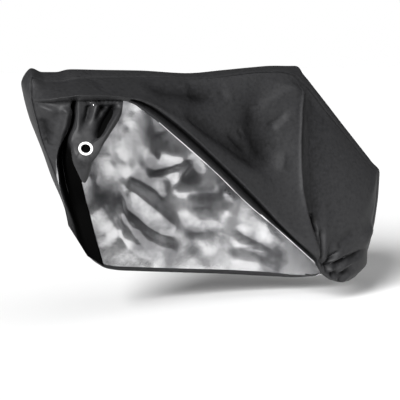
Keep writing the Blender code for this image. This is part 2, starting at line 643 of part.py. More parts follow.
def build():
    for old in list(bpy.data.objects):
        bpy.data.objects.remove(old)
    ridge = spaced(RIDGE_RUNS)
    rows = np.linspace(0, 1, ROOF_ROWS + 1) ** ROOF_BIAS
    nose = CORNER - (CORNER - NOTCH) * rows
    under = np.linspace(NOTCH, UNDER_NOTCH, UNDER_ROWS + 1)[1:]
    downs = spaced(FRONT_RUNS)
    run = np.concatenate([nose, under, downs[1:]])[::-1]
    strip = strip_points(np.concatenate([run, ridge[1:]]))

    roof, lip, edge = near_points(ridge, rows)
    below = under_rows(ridge, roof[-1], edge)
    near_grid = np.concatenate([roof, below])
    near_grid[:, 0] = near_seam(np.concatenate([nose, under]))
    at_flap = list(ridge).index(FLAP_STATION)
    at_end = list(ridge).index(FLAP_END)
    front = front_points(ridge[: at_flap + 1], downs)
    front[0] = near_grid[-1, : at_flap + 1]
    at_tip = list(downs).index(FLAP_TIP)
    flap = flap_points(ridge[at_flap : at_end + 1], downs[: at_tip + 1], front[: at_tip + 1, -1])
    flap = flatten_round_eyelet(flap)
    flap[0] = near_grid[-1, at_flap : at_end + 1]
    flap[:, 0] = front[: at_tip + 1, -1]
    far = far_points(np.concatenate([run, ridge[1:]]), strip[:, -1])

    near_side = Sheet("near_side")
    near_side.add_grid(near_grid, True)
    near_side.add_grid(front, True)
    far_side = Sheet("far_side")
    far_side.add_grid(far, False)
    centre_strip = Sheet("centre_strip")
    centre_strip.add_grid(strip, True)
    lock_corner = Sheet("lock_corner")
    centre = np.array(EYELET_CENTRE)
    side, up, n = eyelet_axes()
    reach = np.maximum(np.abs((flap - centre) @ side), np.abs((flap - centre) @ up))
    inside = np.argwhere(reach < BLOCK_RADIUS)
    block = (inside.min(0) - 1, inside.max(0) + 1)
    skip = {(r, c) for r in range(block[0][0], block[1][0]) for c in range(block[0][1], block[1][1])}
    lock_corner.add_grid(flap, True, skip)
    cut_hole(lock_corner, flap, (block[0][0], block[1][0]), (block[0][1], block[1][1]))

    sheets = [near_side, far_side, centre_strip, lock_corner]
    normals = shared_normals(sheets)
    seams = seam_edges(sheets)
    for sheet in sheets:
        points, faces = solid_from_sheet(sheet, normals, seams)
        make_object(sheet.name, points, faces, BLACK_CLOTH, SHARP_CLOTH)

    turned_ring("eyelet", eyelet_profile())


build()
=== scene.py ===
"""Looks of the bicycle cover: its cloth with folds, seams and hems, its lock eyelet, studio and camera.

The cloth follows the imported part: the same tables and functions give its panels, here on a finer grid and
with finer folds. Axes: +X to the rear of the cover, -Y to its near side, +Z up, metres. Tables are in
millimetres. Their heights are above the floor, and TOP_POINT, under the top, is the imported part's origin.
"""

import math
from collections import namedtuple

import bpy
import numpy as np
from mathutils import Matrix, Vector

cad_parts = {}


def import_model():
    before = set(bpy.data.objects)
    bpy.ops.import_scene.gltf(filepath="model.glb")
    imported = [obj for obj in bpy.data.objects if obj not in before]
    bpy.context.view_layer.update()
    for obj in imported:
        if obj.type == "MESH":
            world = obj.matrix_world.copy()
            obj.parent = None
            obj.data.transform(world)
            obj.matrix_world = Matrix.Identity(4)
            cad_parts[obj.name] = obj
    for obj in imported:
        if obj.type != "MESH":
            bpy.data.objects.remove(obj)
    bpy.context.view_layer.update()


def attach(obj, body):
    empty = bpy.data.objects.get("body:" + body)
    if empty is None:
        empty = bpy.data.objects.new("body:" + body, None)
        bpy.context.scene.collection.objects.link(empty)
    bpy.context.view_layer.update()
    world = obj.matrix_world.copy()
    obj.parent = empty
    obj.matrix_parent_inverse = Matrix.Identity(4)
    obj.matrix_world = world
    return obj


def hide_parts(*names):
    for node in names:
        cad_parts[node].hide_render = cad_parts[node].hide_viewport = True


MM = 0.001
CLOTH = 1.2 * MM  # thickness of the cloth with its coating
HEM_CLOTH = 2.4 * MM  # where it is turned and stitched
HEM_WIDTH, HEM_STEP = 25.0 * MM, 1.5 * MM  # HEM_STEP: over which the cloth thins behind the hem
TOP_POINT = (0.10, 0.0, 1.155)

ROOF_ROWS = 90  # cells from the near seam to the lip
ROOF_BIAS = 0.92  # below 1 sets the rows closer near the lip
UNDER_ROWS = 14  # cells from the lip to the inner end of the eave or the hem band
FAR_ROWS = [(0.0, 0.3, 13), (0.3, 1.0, 64)]  # cells along shares of the far panel's ribs
STRIP_CELLS = 16  # cells across the centre strip

def metres(value):
    """A measure in millimetres, or a group of them, in metres."""
    if isinstance(value, tuple):
        return tuple(metres(v) for v in value)
    return value / 1000


def table(kind, kept, rows):
    """Rows with named columns. All but the kept ones are given in millimetres, and come out in metres."""
    named = [kind(*row) for row in rows]
    scaled = [n for n in kind._fields if n not in kept.split()]
    return [row._replace(**{n: metres(getattr(row, n)) for n in scaled}) for row in named]


# Sections along the centre strip, from its front hem (0) over the notch (6), the nose (7), the front
# corner (8), the top and the saddle (18) to the rear hem (28). near and far: the seams to the side
# panels. crown: the middle.
Section = namedtuple("Section", "station near_x near_y near_z crown_x crown_y crown_z far_x far_y far_z")
SECTIONS = table(Section, "station", [
    (0, -636, -20, 491, -574, 55, 442, -506, 135, 396),
    (1, -680, -50, 620, -640, 25, 588, -570, 110, 560),
    (2, -733, -80, 733, -705, 5, 712, -648, 96, 700),
    (3, -780, -100, 830, -752, 0, 832, -700, 90, 830),
    (4, -812, -110, 900, -782, 0, 905, -730, 90, 905),
    (5, -840, -120, 985, -814, 0, 985, -762, 90, 988),
    (6, -863, -120, 1087, -841, 0, 1085, -790, 90, 1088),
    (7, -855, -105, 1130, -850, 0, 1140, -794, 90, 1136),
    (8, -843, -90, 1170, -802, 0, 1206, -770, 90, 1172),
    (9, -775, -90, 1147, -745, 0, 1187, -730, 90, 1166),
    (10, -700, -90, 1146, -672, 0, 1186, -670, 90, 1163),
    (11, -610, -90, 1158, -600, 0, 1197, -600, 90, 1172),
    (12, -450, -90, 1160, -445, 0, 1192, -445, 90, 1167),
    (13, -250, -90, 1158, -250, 0, 1186, -250, 90, 1161),
    (14, 10, -90, 1146, 20, 0, 1169, 25, 90, 1147),
    (15, 190, -90, 1158, 200, 0, 1179, 200, 90, 1157),
    (16, 350, -90, 1171, 370, 0, 1190, 370, 90, 1168),
    (17, 460, -90, 1172, 500, 0, 1196, 500, 90, 1171),
    (17.7, 558, -91, 1155, 599, 0, 1193, 590, 90, 1168),
    (18, 595, -92, 1128, 647, 0, 1191, 625, 90, 1160),
    (18.35, 613, -90, 1113, 670, -5, 1161, 655, 90, 1130),
    (19, 638, -88, 1098, 708, -20, 1111, 694, 90, 1089),
    (20, 776, -92, 953, 840, -30, 964, 814, 90, 953),
    (21, 899, -100, 824, 963, -30, 834, 942, 90, 821),
    (22, 1026, -103, 694, 1088, -30, 703, 1063, 90, 697),
    (23, 1080, -101, 634, 1142, -30, 642, 1110, 90, 640),
    (24, 1081, -96, 535, 1136, -30, 529, 1116, 90, 540),
    (25, 1066, -92, 422, 1120, -30, 409, 1103, 90, 414),
    (26, 1038, -90, 303, 1098, -20, 286, 1073, 90, 296),
    (27, 1028, -94, 190, 1046, 0, 182, 1037, 90, 186),
    (28, 945, -100, 118, 952, 0, 108, 948, 96, 114),
])
FRONT_HEM, NOTCH, CORNER, REAR_HEM = 0, 6, 8, 28

# Lower edge of the near panel for each rib: from the notch along the eave, then up the slope of the
# lifted hem and round the gathered corner. lip: outer fold. edge: end of the cloth behind it (inner end
# of the eave, or the hem band that looks out below the lip). belly: how far the rib swells outward. bow:
# how far it bends to the front.
NearEdge = namedtuple("NearEdge", "station lip_x lip_y lip_z edge_x edge_y edge_z belly bow", defaults=(0,))
NEAR_EDGES = table(NearEdge, "station", [
    (8, -866, -124, 1080, -861, -121, 1066, 0),
    (8.5, -846, -190, 1079, -835, -170, 1067, 0),
    (9, -822, -228, 1080, -802, -203, 1066, 3),
    (9.6, -783, -256, 1087, -758, -226, 1070, 5),
    (10, -757, -266, 1090, -728, -238, 1071, 7),
    (10.5, -730, -276, 1093, -690, -186, 1066, 8),
    (11, -697, -284, 1095, -702, -256, 1070, 9),
    (11.5, -583, -292, 1092, -600, -262, 1070, 10),
    (12, -490, -292, 1081, -488, -270, 1066, 12),
    (12.6, -424, -290, 1066, -437, -262, 1052, 14),
    (13.2, -350, -284, 1040, -346, -262, 993, 16),
    (14, -174, -274, 929, -205, -256, 886, 18),
    (15, 38, -264, 759, 10, -248, 716, 18),
    (16, 225, -252, 600, 190, -240, 560, 22, 20),
    (17, 430, -232, 412, 400, -226, 402, 30, 60),
    (18, 632, -204, 248, 612, -202, 236, 40, 85),
    (20, 682, -184, 190, 674, -176, 178, 60, 20),
    (22, 720, -172, 160, 716, -160, 150, 62),
    (24, 768, -158, 130, 766, -142, 126, 56),
    (26, 828, -138, 109, 830, -120, 112, 44),
    (28, 900, -112, 106, 904, -98, 116, 6),
])
FOLD_STATION, VALLEY_STATION, FLAP_STATION, FLAP_END = 10.0, 10.5, 11.0, 12.0
KNOT_START, KNOT_END = 17.0, 19.0  # stations between which the hem band rolls into the gathered corner
EAVE_FADE = 0.8  # stations over which the eave turns into the hem band
SWELL_BIAS = 0.8  # below 1 sets a rib's fullest point nearer the seam
SWELL_RISE = 0.35  # part of a rib's swell that lifts it
HEM_TUCK = (0.0, 0.075, 0.016)  # how the cloth dips in between the lip and the hem band
EAVE_DROP = (0.0, 0.0, -0.005)  # how the eave's underside hangs between its two edges
FRONT_SWELL = 0.10  # of the width of the near front, from the seam to its fold
FRONT_FORWARD = 0.5  # part of that swell that goes to the front too

# Near front below the eave, for the sections down the front: the cloth runs from the seam to a standing
# fold, turns in to a deep valley and comes out again at the lock corner (above section 2) or ends at its
# own hem (below it).
Front = namedtuple("Front", "station fold_x fold_y fold_z valley_x valley_y valley_z end_x end_y end_z")
FRONTS = table(Front, "station", [
    (0, -606, -8, 450, -520, 20, 335, -424, 40, 278),
    (0.6, -648, -42, 548, -560, 8, 450, -488, 0, 430),
    (1.2, -704, -88, 642, -610, -5, 580, -560, -60, 585),
    (2, -742, -124, 742, -650, -20, 705, -700, -258, 742),
    (3, -758, -156, 832, -674, -40, 820, -738, -262, 826),
    (4, -748, -188, 903, -674, -60, 895, -742, -254, 893),
    (5, -734, -212, 975, -668, -90, 975, -710, -252, 975),
    (6, -728, -238, 1071, -690, -186, 1066, -702, -256, 1070),
])
FLAP_TIP = 2.0
UNDER_NOTCH = 5.86  # inner end of the eave, on the seam

# Free hem of the lock corner and how far the corner swells outward, for the same sections.
Flap = namedtuple("Flap", "station hem_x hem_y hem_z belly sag")
FLAPS = table(Flap, "station", [
    (2, -660, -272, 752, 0, 34),
    (2.5, -668, -304, 785, 22, 10),
    (3.2, -645, -322, 842, 30, 0),
    (4, -590, -318, 915, 12, 0),
    (5, -512, -296, 1008, 4, 0),
    (6, -488, -270, 1066, 0, 0),
])

# Far panel: hem under each rib, how far the rib first runs out along the roof and how much of that run
# leads to the rear, and how far it hangs outside its hem.
FarHem = namedtuple("FarHem", "station x y z reach lead belly")
FAR_HEMS = table(FarHem, "station lead", [
    (0, -475, 150, 352, 10, 0.75, 4),
    (2, -425, 195, 305, 60, 0.75, 10),
    (4, -385, 225, 275, 120, 0.75, 20),
    (6, -345, 245, 250, 160, 0.75, 26),
    (8, -300, 262, 226, 180, 0.75, 30),
    (10, -225, 274, 206, 210, 0.5, 34),
    (12, -80, 284, 186, 220, 0, 36),
    (14, 160, 288, 157, 190, 0, 30),
    (16, 390, 284, 130, 160, 0, 24),
    (18, 600, 262, 104, 130, 0, 24),
    (20, 700, 236, 94, 120, 0, 30),
    (23, 800, 200, 86, 110, 0, 40),
    (26, 870, 164, 88, 80, 0, 34),
    (28, 912, 122, 106, 10, 0, 4),
])

FAR_OUT, FAR_DOWN = 1.15, -0.30  # the way a rib leaves the seam, for each metre of reach
FAR_LEAN = (0.55, 0.0, 0.62)  # how it comes down to its hem, as parts of the way up to the seam
FAR_BELLY = 1.6

# Folds of the cloth: each follows a path in the side view, given as (x, z) points. height > 0 stands out
# towards the near side. left and right: how wide it runs out on either side of the path's direction. grow
# and fade: the shares of the path over which it rises and dies away.
Fold = namedtuple("Fold", "name path left right height grow fade", defaults=(0.2, 0.2))
NEAR_FOLDS = table(Fold, "name grow fade", [
    ("saddle facet edge", ((565, 1109), (410, 1038), (266, 963)), 60, 30, 14, 0.1),
    ("dip under the ridge", ((-90, 1098), (160, 1070)), 40, 40, -12),
    ("swell over the bag", ((930, 290), (1050, 390)), 45, 45, 14, 0.3, 0.3),
    ("saddle ridge", ((590, 1118), (553, 985), (526, 842), (510, 699), (509, 602), (529, 504), (556, 405),
     (603, 302), (640, 240)), 60, 120, 28, 0.06, 0.1),
    ("crisp crest of the ridge", ((592, 1110), (555, 985), (528, 842), (512, 699), (511, 602), (531, 504),
     (558, 405)), 14, 11, 13.6, 0.04, 0.3),
    ("groove beside the crest", ((612, 1100), (575, 985), (549, 842), (534, 699), (533, 602), (552, 504),
     (574, 415)), 12, 22, -12, 0.04, 0.3),
    ("hollow behind the ridge", ((627, 1107), (625, 982), (613, 838), (606, 693), (609, 571), (617, 471),
     (640, 355)), 110, 45, -20, 0.1, 0.15),
    ("pale ridge from the saddle", ((610, 1117), (618, 1047), (640, 939)), 24, 16, 8, 0.05, 0.6),
    ("deep crease", ((611, 487), (613, 447), (620, 406), (640, 355)), 14, 18, -28, 0.25, 0.3),
    ("ridge by the crease", ((638, 440), (645, 340), (652, 260)), 14, 14, 14, 0.3),
    ("fold into the knot", ((664, 410), (664, 330), (660, 255)), 16, 14, -22, 0.3),
    ("facet hollow", ((410, 1038), (266, 963), (251, 902), (276, 845), (328, 780), (411, 704)), 120, 50,
     -32, 0.3, 0.3),
    ("small crease", ((350, 904), (420, 947), (490, 992)), 18, 26, -11, 0.3, 0.4),
    ("ridge by the small crease", ((385, 888), (450, 925), (500, 960)), 18, 30, 8, 0.3, 0.3),
    ("facet toe", ((445, 810), (425, 750), (405, 690)), 28, 34, 12, 0.5),
    ("shade above lifted hem", ((-170, 1000), (-89, 955), (-6, 901), (97, 840), (179, 785), (247, 748),
     (360, 690)), 62, 28, -30, 0.15, 0.25),
    ("light over the eave", ((-480, 1091), (-358, 1048), (-217, 980), (-5, 895)), 20, 24, 8, 0.2, 0.3),
    ("notch crease", ((103, 909), (170, 846), (240, 786)), 20, 16, -14, 0.2, 0.4),
    ("second notch crease", ((170, 925), (207, 862)), 14, 14, -8, 0.3, 0.3),
    ("long trough on the roof", ((-362, 1133), (-250, 1113), (-108, 1090), (43, 1071), (111, 1060)), 28, 45,
     -26, 0.3, 0.3),
    ("faint draw on the roof", ((-530, 1160), (-551, 1145), (-590, 1105)), 22, 20, -6, 0.3, 0.3),
    ("bag crease one", ((668, 212), (723, 237), (769, 270), (806, 292)), 14, 14, -26, 0.05, 0.5),
    ("bag crease two", ((685, 196), (762, 219), (843, 236), (915, 249), (985, 275)), 14, 18, -24, 0.1, 0.3),
    ("bag crease three", ((700, 176), (741, 166), (801, 156), (877, 161), (931, 173)), 12, 14, -16, 0.1,
     0.4),
    ("bag ridge one", ((700, 214), (728, 229), (802, 252), (878, 274)), 12, 12, 12, 0.1, 0.5),
    ("bag ridge two", ((720, 184), (776, 190), (852, 203), (954, 218)), 12, 14, 12, 0.1, 0.5),
    ("bag hollow", ((760, 290), (796, 323), (852, 359), (905, 395)), 34, 24, -14, 0.2, 0.4),
    ("bag edge light", ((918, 286), (961, 344), (1010, 393)), 22, 30, 10, 0.3, 0.3),
])
FRONT_FOLDS = table(Fold, "name grow fade", [
    ("ridge under the nose", ((-866, 1075), (-842, 1063), (-794, 1027), (-765, 995)), 16, 26, 22, 0.1, 0.4),
    ("dark notch", ((-868, 1068), (-850, 1030)), 14, 14, -29, 0.2, 0.6),
    ("dark facet", ((-840, 1000), (-815, 930), (-795, 870)), 30, 20, -22, 0.25, 0.4),
    ("upright light", ((-768, 1060), (-740, 1020), (-744, 970), (-755, 915), (-758, 853)), 22, 16, 26, 0.2,
     0.5),
    ("draw to the seam", ((-813, 900), (-791, 874), (-759, 862)), 10, 10, -10, 0.2, 0.4),
    ("soft hollow", ((-800, 820), (-780, 760), (-740, 680)), 30, 30, -13, 0.4, 0.4),
])
FLAP_FOLDS = table(Fold, "name grow fade", [
    ("left light", ((-713, 1062), (-707, 1009), (-707, 944), (-706, 911)), 10, 14, 13, 0.1, 0.4),
    ("left valley", ((-645, 1062), (-659, 1008), (-691, 944)), 14, 14, -26, 0.1, 0.5),
    ("middle ridge", ((-617, 1062), (-633, 1008), (-644, 961)), 14, 16, 19, 0.1, 0.6),
    ("middle valley", ((-573, 1060), (-600, 1028), (-633, 977)), 13, 14, -22, 0.1, 0.5),
    ("deep valley", ((-520, 1062), (-595, 977), (-659, 877)), 13, 17, -39, 0.1, 0.4),
    ("hem ridge", ((-500, 1040), (-575, 951), (-641, 880), (-685, 800)), 15, 13, 21, 0.2, 0.3),
    ("swag under the eave", ((-610, 1062), (-580, 1044), (-545, 1062)), 10, 10, -13, 0.3, 0.3),
    ("low crinkle", ((-735, 829), (-723, 818), (-702, 810)), 8, 8, -9, 0.3, 0.3),
    ("lowest crinkle", ((-722, 800), (-705, 785), (-690, 782)), 8, 8, -7, 0.3, 0.3),
])
FAR_FOLDS = table(Fold, "name grow fade", [
    ("sweep from the front", ((-330, 560), (-200, 370)), 60, 60, 15),
    ("sweep to the hem", ((-200, 370), (50, 190)), 60, 60, 15),
    ("fold across the middle", ((-180, 620), (110, 360)), 70, 70, 16),
    ("pouch", ((80, 560), (300, 680)), 70, 70, -10),
    ("roof pleat", ((-50, 790), (220, 740)), 60, 60, 12),
    ("long draw to the rear", ((130, 480), (500, 440)), 60, 60, 11),
    ("rear draw upper", ((450, 600), (740, 260)), 60, 60, 14),
    ("rear draw lower", ((440, 330), (800, 180)), 60, 60, -12),
    ("lit band", ((-161, 614), (-86, 550), (-3, 491), (71, 430), (145, 369)), 42, 34, 15, 0.15, 0.25),
    ("dark over the band", ((-150, 662), (-70, 622), (10, 580), (87, 510)), 40, 24, -14),
    ("crease under the band", ((-182, 605), (-157, 560), (-123, 493), (-75, 445), (-32, 408), (25, 374),
     (97, 347), (152, 322)), 18, 36, -22, 0.08),
    ("nip in the band", ((-161, 520), (-118, 468)), 14, 16, -7, 0.3, 0.3),
    ("bulge", ((-150, 450), (-60, 355), (27, 300), (145, 262)), 55, 50, 19),
    ("sweep edge", ((-190, 473), (-155, 417), (-99, 344), (-40, 279), (12, 224)), 14, 40, -12, 0.1, 0.15),
    ("second sweep edge", ((-212, 393), (-171, 331), (-95, 274), (-24, 227), (52, 190)), 14, 30, -10, 0.1),
    ("billow over the hem", ((-35, 222), (52, 192), (199, 172), (437, 150)), 30, 16, 11, 0.2, 0.3),
    ("patch light", ((-45, 740), (55, 756), (190, 745)), 30, 34, 10, 0.2, 0.3),
    ("patch lower edge", ((-40, 664), (37, 677), (105, 690), (180, 708), (261, 735)), 34, 14, -15, 0.2,
     0.25),
    ("ridge under the patch", ((-10, 645), (100, 664), (190, 690)), 14, 18, 7, 0.2, 0.3),
    ("nick in the patch", ((20, 785), (30, 750), (42, 715)), 14, 14, -5, 0.2, 0.4),
    ("pouch left lip", ((205, 716), (170, 668), (120, 612)), 14, 34, 9, 0.25, 0.15),
    ("pouch lower lip", ((104, 590), (147, 569), (200, 569), (256, 598), (325, 655)), 16, 24, 10, 0.1),
    ("pouch hollow", ((160, 610), (215, 645), (280, 700)), 30, 30, -12, 0.25, 0.3),
    ("upper draw line", ((170, 545), (269, 532), (391, 541)), 14, 16, -6, 0.3, 0.3),
    ("between the draw lines", ((190, 512), (300, 506), (400, 512)), 14, 14, 4, 0.3, 0.3),
    ("lower draw line", ((167, 486), (292, 480), (406, 490)), 14, 16, -6, 0.3, 0.3),
    ("bright corner", ((405, 560), (460, 520), (487, 480)), 18, 22, 11, 0.2, 0.3),
    ("bright line", ((488, 500), (444, 470), (399, 432)), 14, 14, 7, 0.2, 0.4),
    ("low light", ((202, 415), (289, 410), (388, 400)), 20, 24, 7, 0.3, 0.3),
    ("low hollow", ((160, 372), (289, 355), (410, 370)), 24, 24, -9, 0.3, 0.3),
    ("first streak", ((440, 365), (560, 300), (670, 235)), 16, 14, -8),
    ("second streak", ((440, 325), (567, 262), (680, 210)), 14, 14, 10),
    ("third streak", ((430, 265), (571, 222), (700, 175)), 14, 14, -8),
    ("fourth streak", ((400, 215), (571, 182), (720, 150)), 14, 14, 8),
    ("drape from the nose", ((-640, 1020), (-600, 760), (-500, 420)), 50, 80, 14, 0.2, 0.3),
    ("drape from the bar", ((-360, 1040), (-390, 800), (-340, 560)), 40, 70, 13, 0.2, 0.4),
    ("drape in the middle", ((-60, 1060), (-10, 900), (20, 760)), 45, 50, -10, 0.2, 0.5),
    ("drape from the saddle", ((430, 1090), (400, 820), (330, 520)), 50, 75, 15, 0.15, 0.4),
    ("hollow behind the saddle", ((520, 1040), (530, 800), (500, 560)), 40, 60, -13, 0.15, 0.4),
    ("drape to the rear hem", ((600, 980), (700, 640), (740, 300)), 50, 70, 14, 0.15, 0.3),
    ("drape at the rear", ((800, 720), (850, 500), (870, 280)), 35, 50, 9, 0.2, 0.3),
])
# Folds along the ribs, from the saddle and into the gathered corner: the rib each follows, its width in
# stations, where down the rib it starts.
Pleat = namedtuple("Pleat", "station width start depth")
PLEATS = table(Pleat, "station width start", [
    (17.8, 0.26, 0.02, 16),
    (18.45, 0.32, 0.02, -18),
    (19.2, 0.4, 0.45, -10),
    (20, 0.45, 0.5, 10),
    (20.9, 0.45, 0.6, -12),
    (22, 0.5, 0.65, 9),
    (23.1, 0.5, 0.66, -10),
    (24.2, 0.5, 0.6, 8),
    (25.4, 0.55, 0.35, -10),
    (26.5, 0.5, 0.4, 6),
])
# Shares of a rib: over which folds rise from the seam, sink to the lip or hem, and the part left there.
NEAR_FADES = (0.08, 0.05, 0.3)
FAR_FADES = (0.12, 0.12, 0.2)
FLAP_FADES = (0.08, 0.06, 0.3)
FRONT_EASE, FLAP_EASE, FAR_EASE = 0.3, 0.15, 2.0  # stations over which folds die away at a panel's ends
FRONT_FOLD_ROOM = 0.2  # stations by which the near front's folds run on past the standing fold

NEAR_SHADE_DEPTH, FRONT_SHADE_DEPTH, FAR_SHADE_DEPTH = 0.050, 0.036, 0.050  # fold depth at which the shade painted into a hollow is darkest
PLEAT_SHADE_EASE = 0.22  # stations over which the shade painted over the deep pleat sets in behind its fold
PLEAT_OPENS, PLEAT_NARROWS = 3.2, 1.5  # section above which the pleat's painted shade narrows, and over how many
VALLEY_SHADE_EASE, VALLEY_SHADE_END = 0.3, 0.1  # stations over which the painted shade leaves the valley's far side, and where that starts
TUCK_SHADOW_PLACE, TUCK_SHADOW_WIDTH = 0.24, 0.20  # shadow painted into the groove under the lip: its middle and width, as shares of the rows below it
FOLD_CREST = 1.6  # 2 rounds the top of a fold, less makes it sharper

# Small creases scattered over a panel: the part of the side view, how many, their seed and strongest
# height.
Scatter = namedtuple("Scatter", "x0 x1 z0 z1 count seed height")
NEAR_SCATTER = Scatter(-0.85, 1.08, 0.15, 1.15, 90, 7, 1.6 * MM)
FAR_SCATTER = Scatter(-0.75, 1.08, 0.15, 1.15, 230, 11, 4.5 * MM)
SMALL_LENGTH = (0.04, 0.16)
SMALL_WIDTH = (0.013, 0.030)
SMALL_BEND = 0.15  # most that one bends, as a share of its length
SMALL_SHARE = (0.3, 1.0)  # of the strongest height
SMALL_FADE = 0.5

# Lock eyelet: a plastic ring whose two flanges hold the cloth between them.
EYELET_CENTRE = (-0.694, -0.306, 0.866)
EYELET_TURN = math.radians(-22.0)  # its face turned towards the front
EYELET_TILT = math.radians(28.0)  # its face turned up
HOLE_RADIUS = 21.3 * MM
BARREL_RADIUS = 22.5 * MM
CUT_RADIUS = 24.0 * MM  # hole in the cloth
FLANGE_RADIUS = 31.5 * MM
FLANGE_LIFT, FLANGE_HEIGHT, FLANGE_ROUND = 0.3 * MM, 2.8 * MM, 0.8  # below 1 fills out its rounded front
RING_BACK = [  # radius, and depth behind the cloth
    (HOLE_RADIUS, 1.0 * MM),
    (HOLE_RADIUS + 2.0 * MM, 1.8 * MM),
    (FLANGE_RADIUS - 3.0 * MM, 1.6 * MM),
    (FLANGE_RADIUS - 2.0 * MM, 0.1 * MM),
    (BARREL_RADIUS, 0.1 * MM),
]
FLAT_RADIUS = 44.0 * MM  # cloth is flat inside this and free outside BLEND_RADIUS
BLEND_RADIUS = 80.0 * MM
BLOCK_RADIUS = 40.0 * MM  # cells of the corner's grid within it are left out and filled round the hole
PATCH_RADII = (37.0 * MM, 33.0 * MM, 28.5 * MM)  # rings of points between that block and the hole
EYELET_SEGMENTS = 72

# Cells along each run of ribs (ridge) and of front rows (front).
Run = namedtuple("Run", "first last cells")
RIDGE_RUNS = [
    Run(CORNER, FOLD_STATION, 28),
    Run(FOLD_STATION, VALLEY_STATION, 6),
    Run(VALLEY_STATION, FLAP_STATION, 6),
    Run(FLAP_STATION, FLAP_END, 44),
    Run(FLAP_END, KNOT_START, 96),
    Run(KNOT_START, KNOT_END, 60),
    Run(KNOT_END, REAR_HEM, 124),
]
FRONT_RUNS = [
    Run(UNDER_NOTCH, FLAP_TIP, 84),
    Run(FLAP_TIP, FRONT_HEM, 44),
]
FAR_BAND = 15.0 * MM  # hem turned to the inside on the far panel, so that its black side shows
LINED_EDGE, EDGE_SHOWN = (-0.30, 0.62), 5.0 * MM  # along the lifted hem the lining rolls out to the front
TURN_REACH, TURN_CELLS = 36, 9  # the corner's free hem is turned under: cells that it covers, its own
TURN_GAP = (-0.004, 0.022, 0.0)  # from the corner to the cloth turned under it
SEAM_HALF = 5.0 * MM  # felled seam: half its width, and its height above the cloth
SEAM_HEIGHT = 0.7 * MM
SEAM_ROUND = 1.5  # above 1 draws its sides in
SEAM_SUNK = 0.2  # how deep its base lies in the cloth, as a share of the cloth

# Surfaces: linear colours.
BLACK = (0.015, 0.015, 0.016)
BLACK_LOW = (0.013, 0.013, 0.014)
BLACK_HIGH = (0.017, 0.017, 0.018)
# painted shade: the black cloth's colour in the deep parts of its folds, the deep pleat, the groove under
# the lip and the cloth turned under the lock corner
BLACK_PAINTED_SHADE = (0.002, 0.002, 0.002)
# specular level of the black cloth, scaled down as painted shade where its colour is darkened
BLACK_SHEEN = 0.30
# painted shade: the silver coating's colour in the deep parts of the folds, the deep pleat, the groove under
# the lip and the cloth turned under the lock corner
SILVER_PAINTED_SHADE = (0.06, 0.06, 0.062)
SILVER = (0.78, 0.78, 0.79)
SILVER_LOW = (0.30, 0.30, 0.31)
WHITE = (0.86, 0.86, 0.85)
WHITE_LOW = (0.80, 0.80, 0.79)
WHITE_HIGH = (0.88, 0.88, 0.87)
FLOOR = (0.86, 0.86, 0.86)
WEAVE_PITCH, WEAVE_HEIGHT = 0.8 * MM, 0.1 * MM

# Studio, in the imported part's frame.
FLOOR_SIZE = 60.0
SKY = [(0.05, 0.22), (0.30, 0.05)]  # how bright the surroundings are at two heights above the horizon
# azimuth: from the near side round to the front
Light = namedtuple("Light", "name azimuth elevation strength softness")
LIGHTS = [
    Light("key from the front left", 54.0, 24.0, 7.0, 22.0),
    Light("fill from the near side", 0.0, 58.0, 1.1, 60.0),
]

# Camera: on the near side, towards the front, a little above the top of the cover and looking down on it.
CAMERA_PLACE = (-3.702, -5.892, 0.258)
CAMERA_AIM = (-0.020, 0.000, -0.595)
CAMERA_LENS = 131.04
CAMERA_SENSOR = 36.0


def smooth(stations, values, at):
    """Values of a table's column at any stations, by a cubic that doesn't overshoot the rows."""
    x = np.asarray(stations, float)
    y = np.asarray(values, float)
    at = np.clip(np.asarray(at, float), x[0], x[-1])
    step = np.diff(x)
    slope = np.diff(y) / step
    tangent = np.zeros(len(x))
    for k in range(1, len(x) - 1):
        if slope[k - 1] * slope[k] > 0:
            w0 = 2 * step[k] + step[k - 1]
            w1 = step[k] + 2 * step[k - 1]
            tangent[k] = (w0 + w1) / (w0 / slope[k - 1] + w1 / slope[k])
    tangent[0] = slope[0]
    tangent[-1] = slope[-1]
    k = np.clip(np.searchsorted(x, at, side="right") - 1, 0, len(x) - 2)
    h = step[k]
    t = (at - x[k]) / h
    a = y[k] * (1 + 2 * t) * (1 - t) ** 2 + tangent[k] * h * t * (1 - t) ** 2
    return a + y[k + 1] * t * t * (3 - 2 * t) + tangent[k + 1] * h * t * t * (t - 1)


def column(table, names, at):
    """Columns of a table, read at any stations."""
    stations = [row.station for row in table]
    return np.stack([smooth(stations, [getattr(row, n) for row in table], at) for n in names], -1)


def spot(table, name, at):
    """A point that a table gives in three columns, read at any stations."""
    return column(table, [name + axis for axis in ("_x", "_y", "_z")], at)


def ease(t):
    """From 0 to 1, with no slope at either end."""
    t = np.clip(t, 0.0, 1.0)
    return t * t * (3 - 2 * t)


def near_seam(at):
    """Points of the seam between the near side and the centre strip."""
    return spot(SECTIONS, "near", at)


def strip_points(at):
    """The centre strip: rows along it, columns from the near seam over the crown to the far seam."""
    near = near_seam(at)
    crown = spot(SECTIONS, "crown", at)
    far = spot(SECTIONS, "far", at)
    grid = []
    for k in range(STRIP_CELLS + 1):
        s = k / STRIP_CELLS
        grid.append((1 - s) * (1 - 2 * s) * near + 4 * s * (1 - s) * crown + s * (2 * s - 1) * far)
    return np.stack(grid, 1)


def stations_along(first, last, cells):
    """Stations spaced evenly along the near seam."""
    fine = np.linspace(first, last, 200)
    points = near_seam(fine)
    length = np.concatenate([[0], np.cumsum(np.linalg.norm(np.diff(points, axis=0), axis=1))])
    return np.interp(np.linspace(0, length[-1], cells + 1), length, fine)


def spaced(runs):
    """Stations that pass through the ends of each run, spaced evenly between them."""
    parts = [stations_along(run.first, run.last, run.cells) for run in runs]
    return np.concatenate([parts[0]] + [p[1:] for p in parts[1:]])


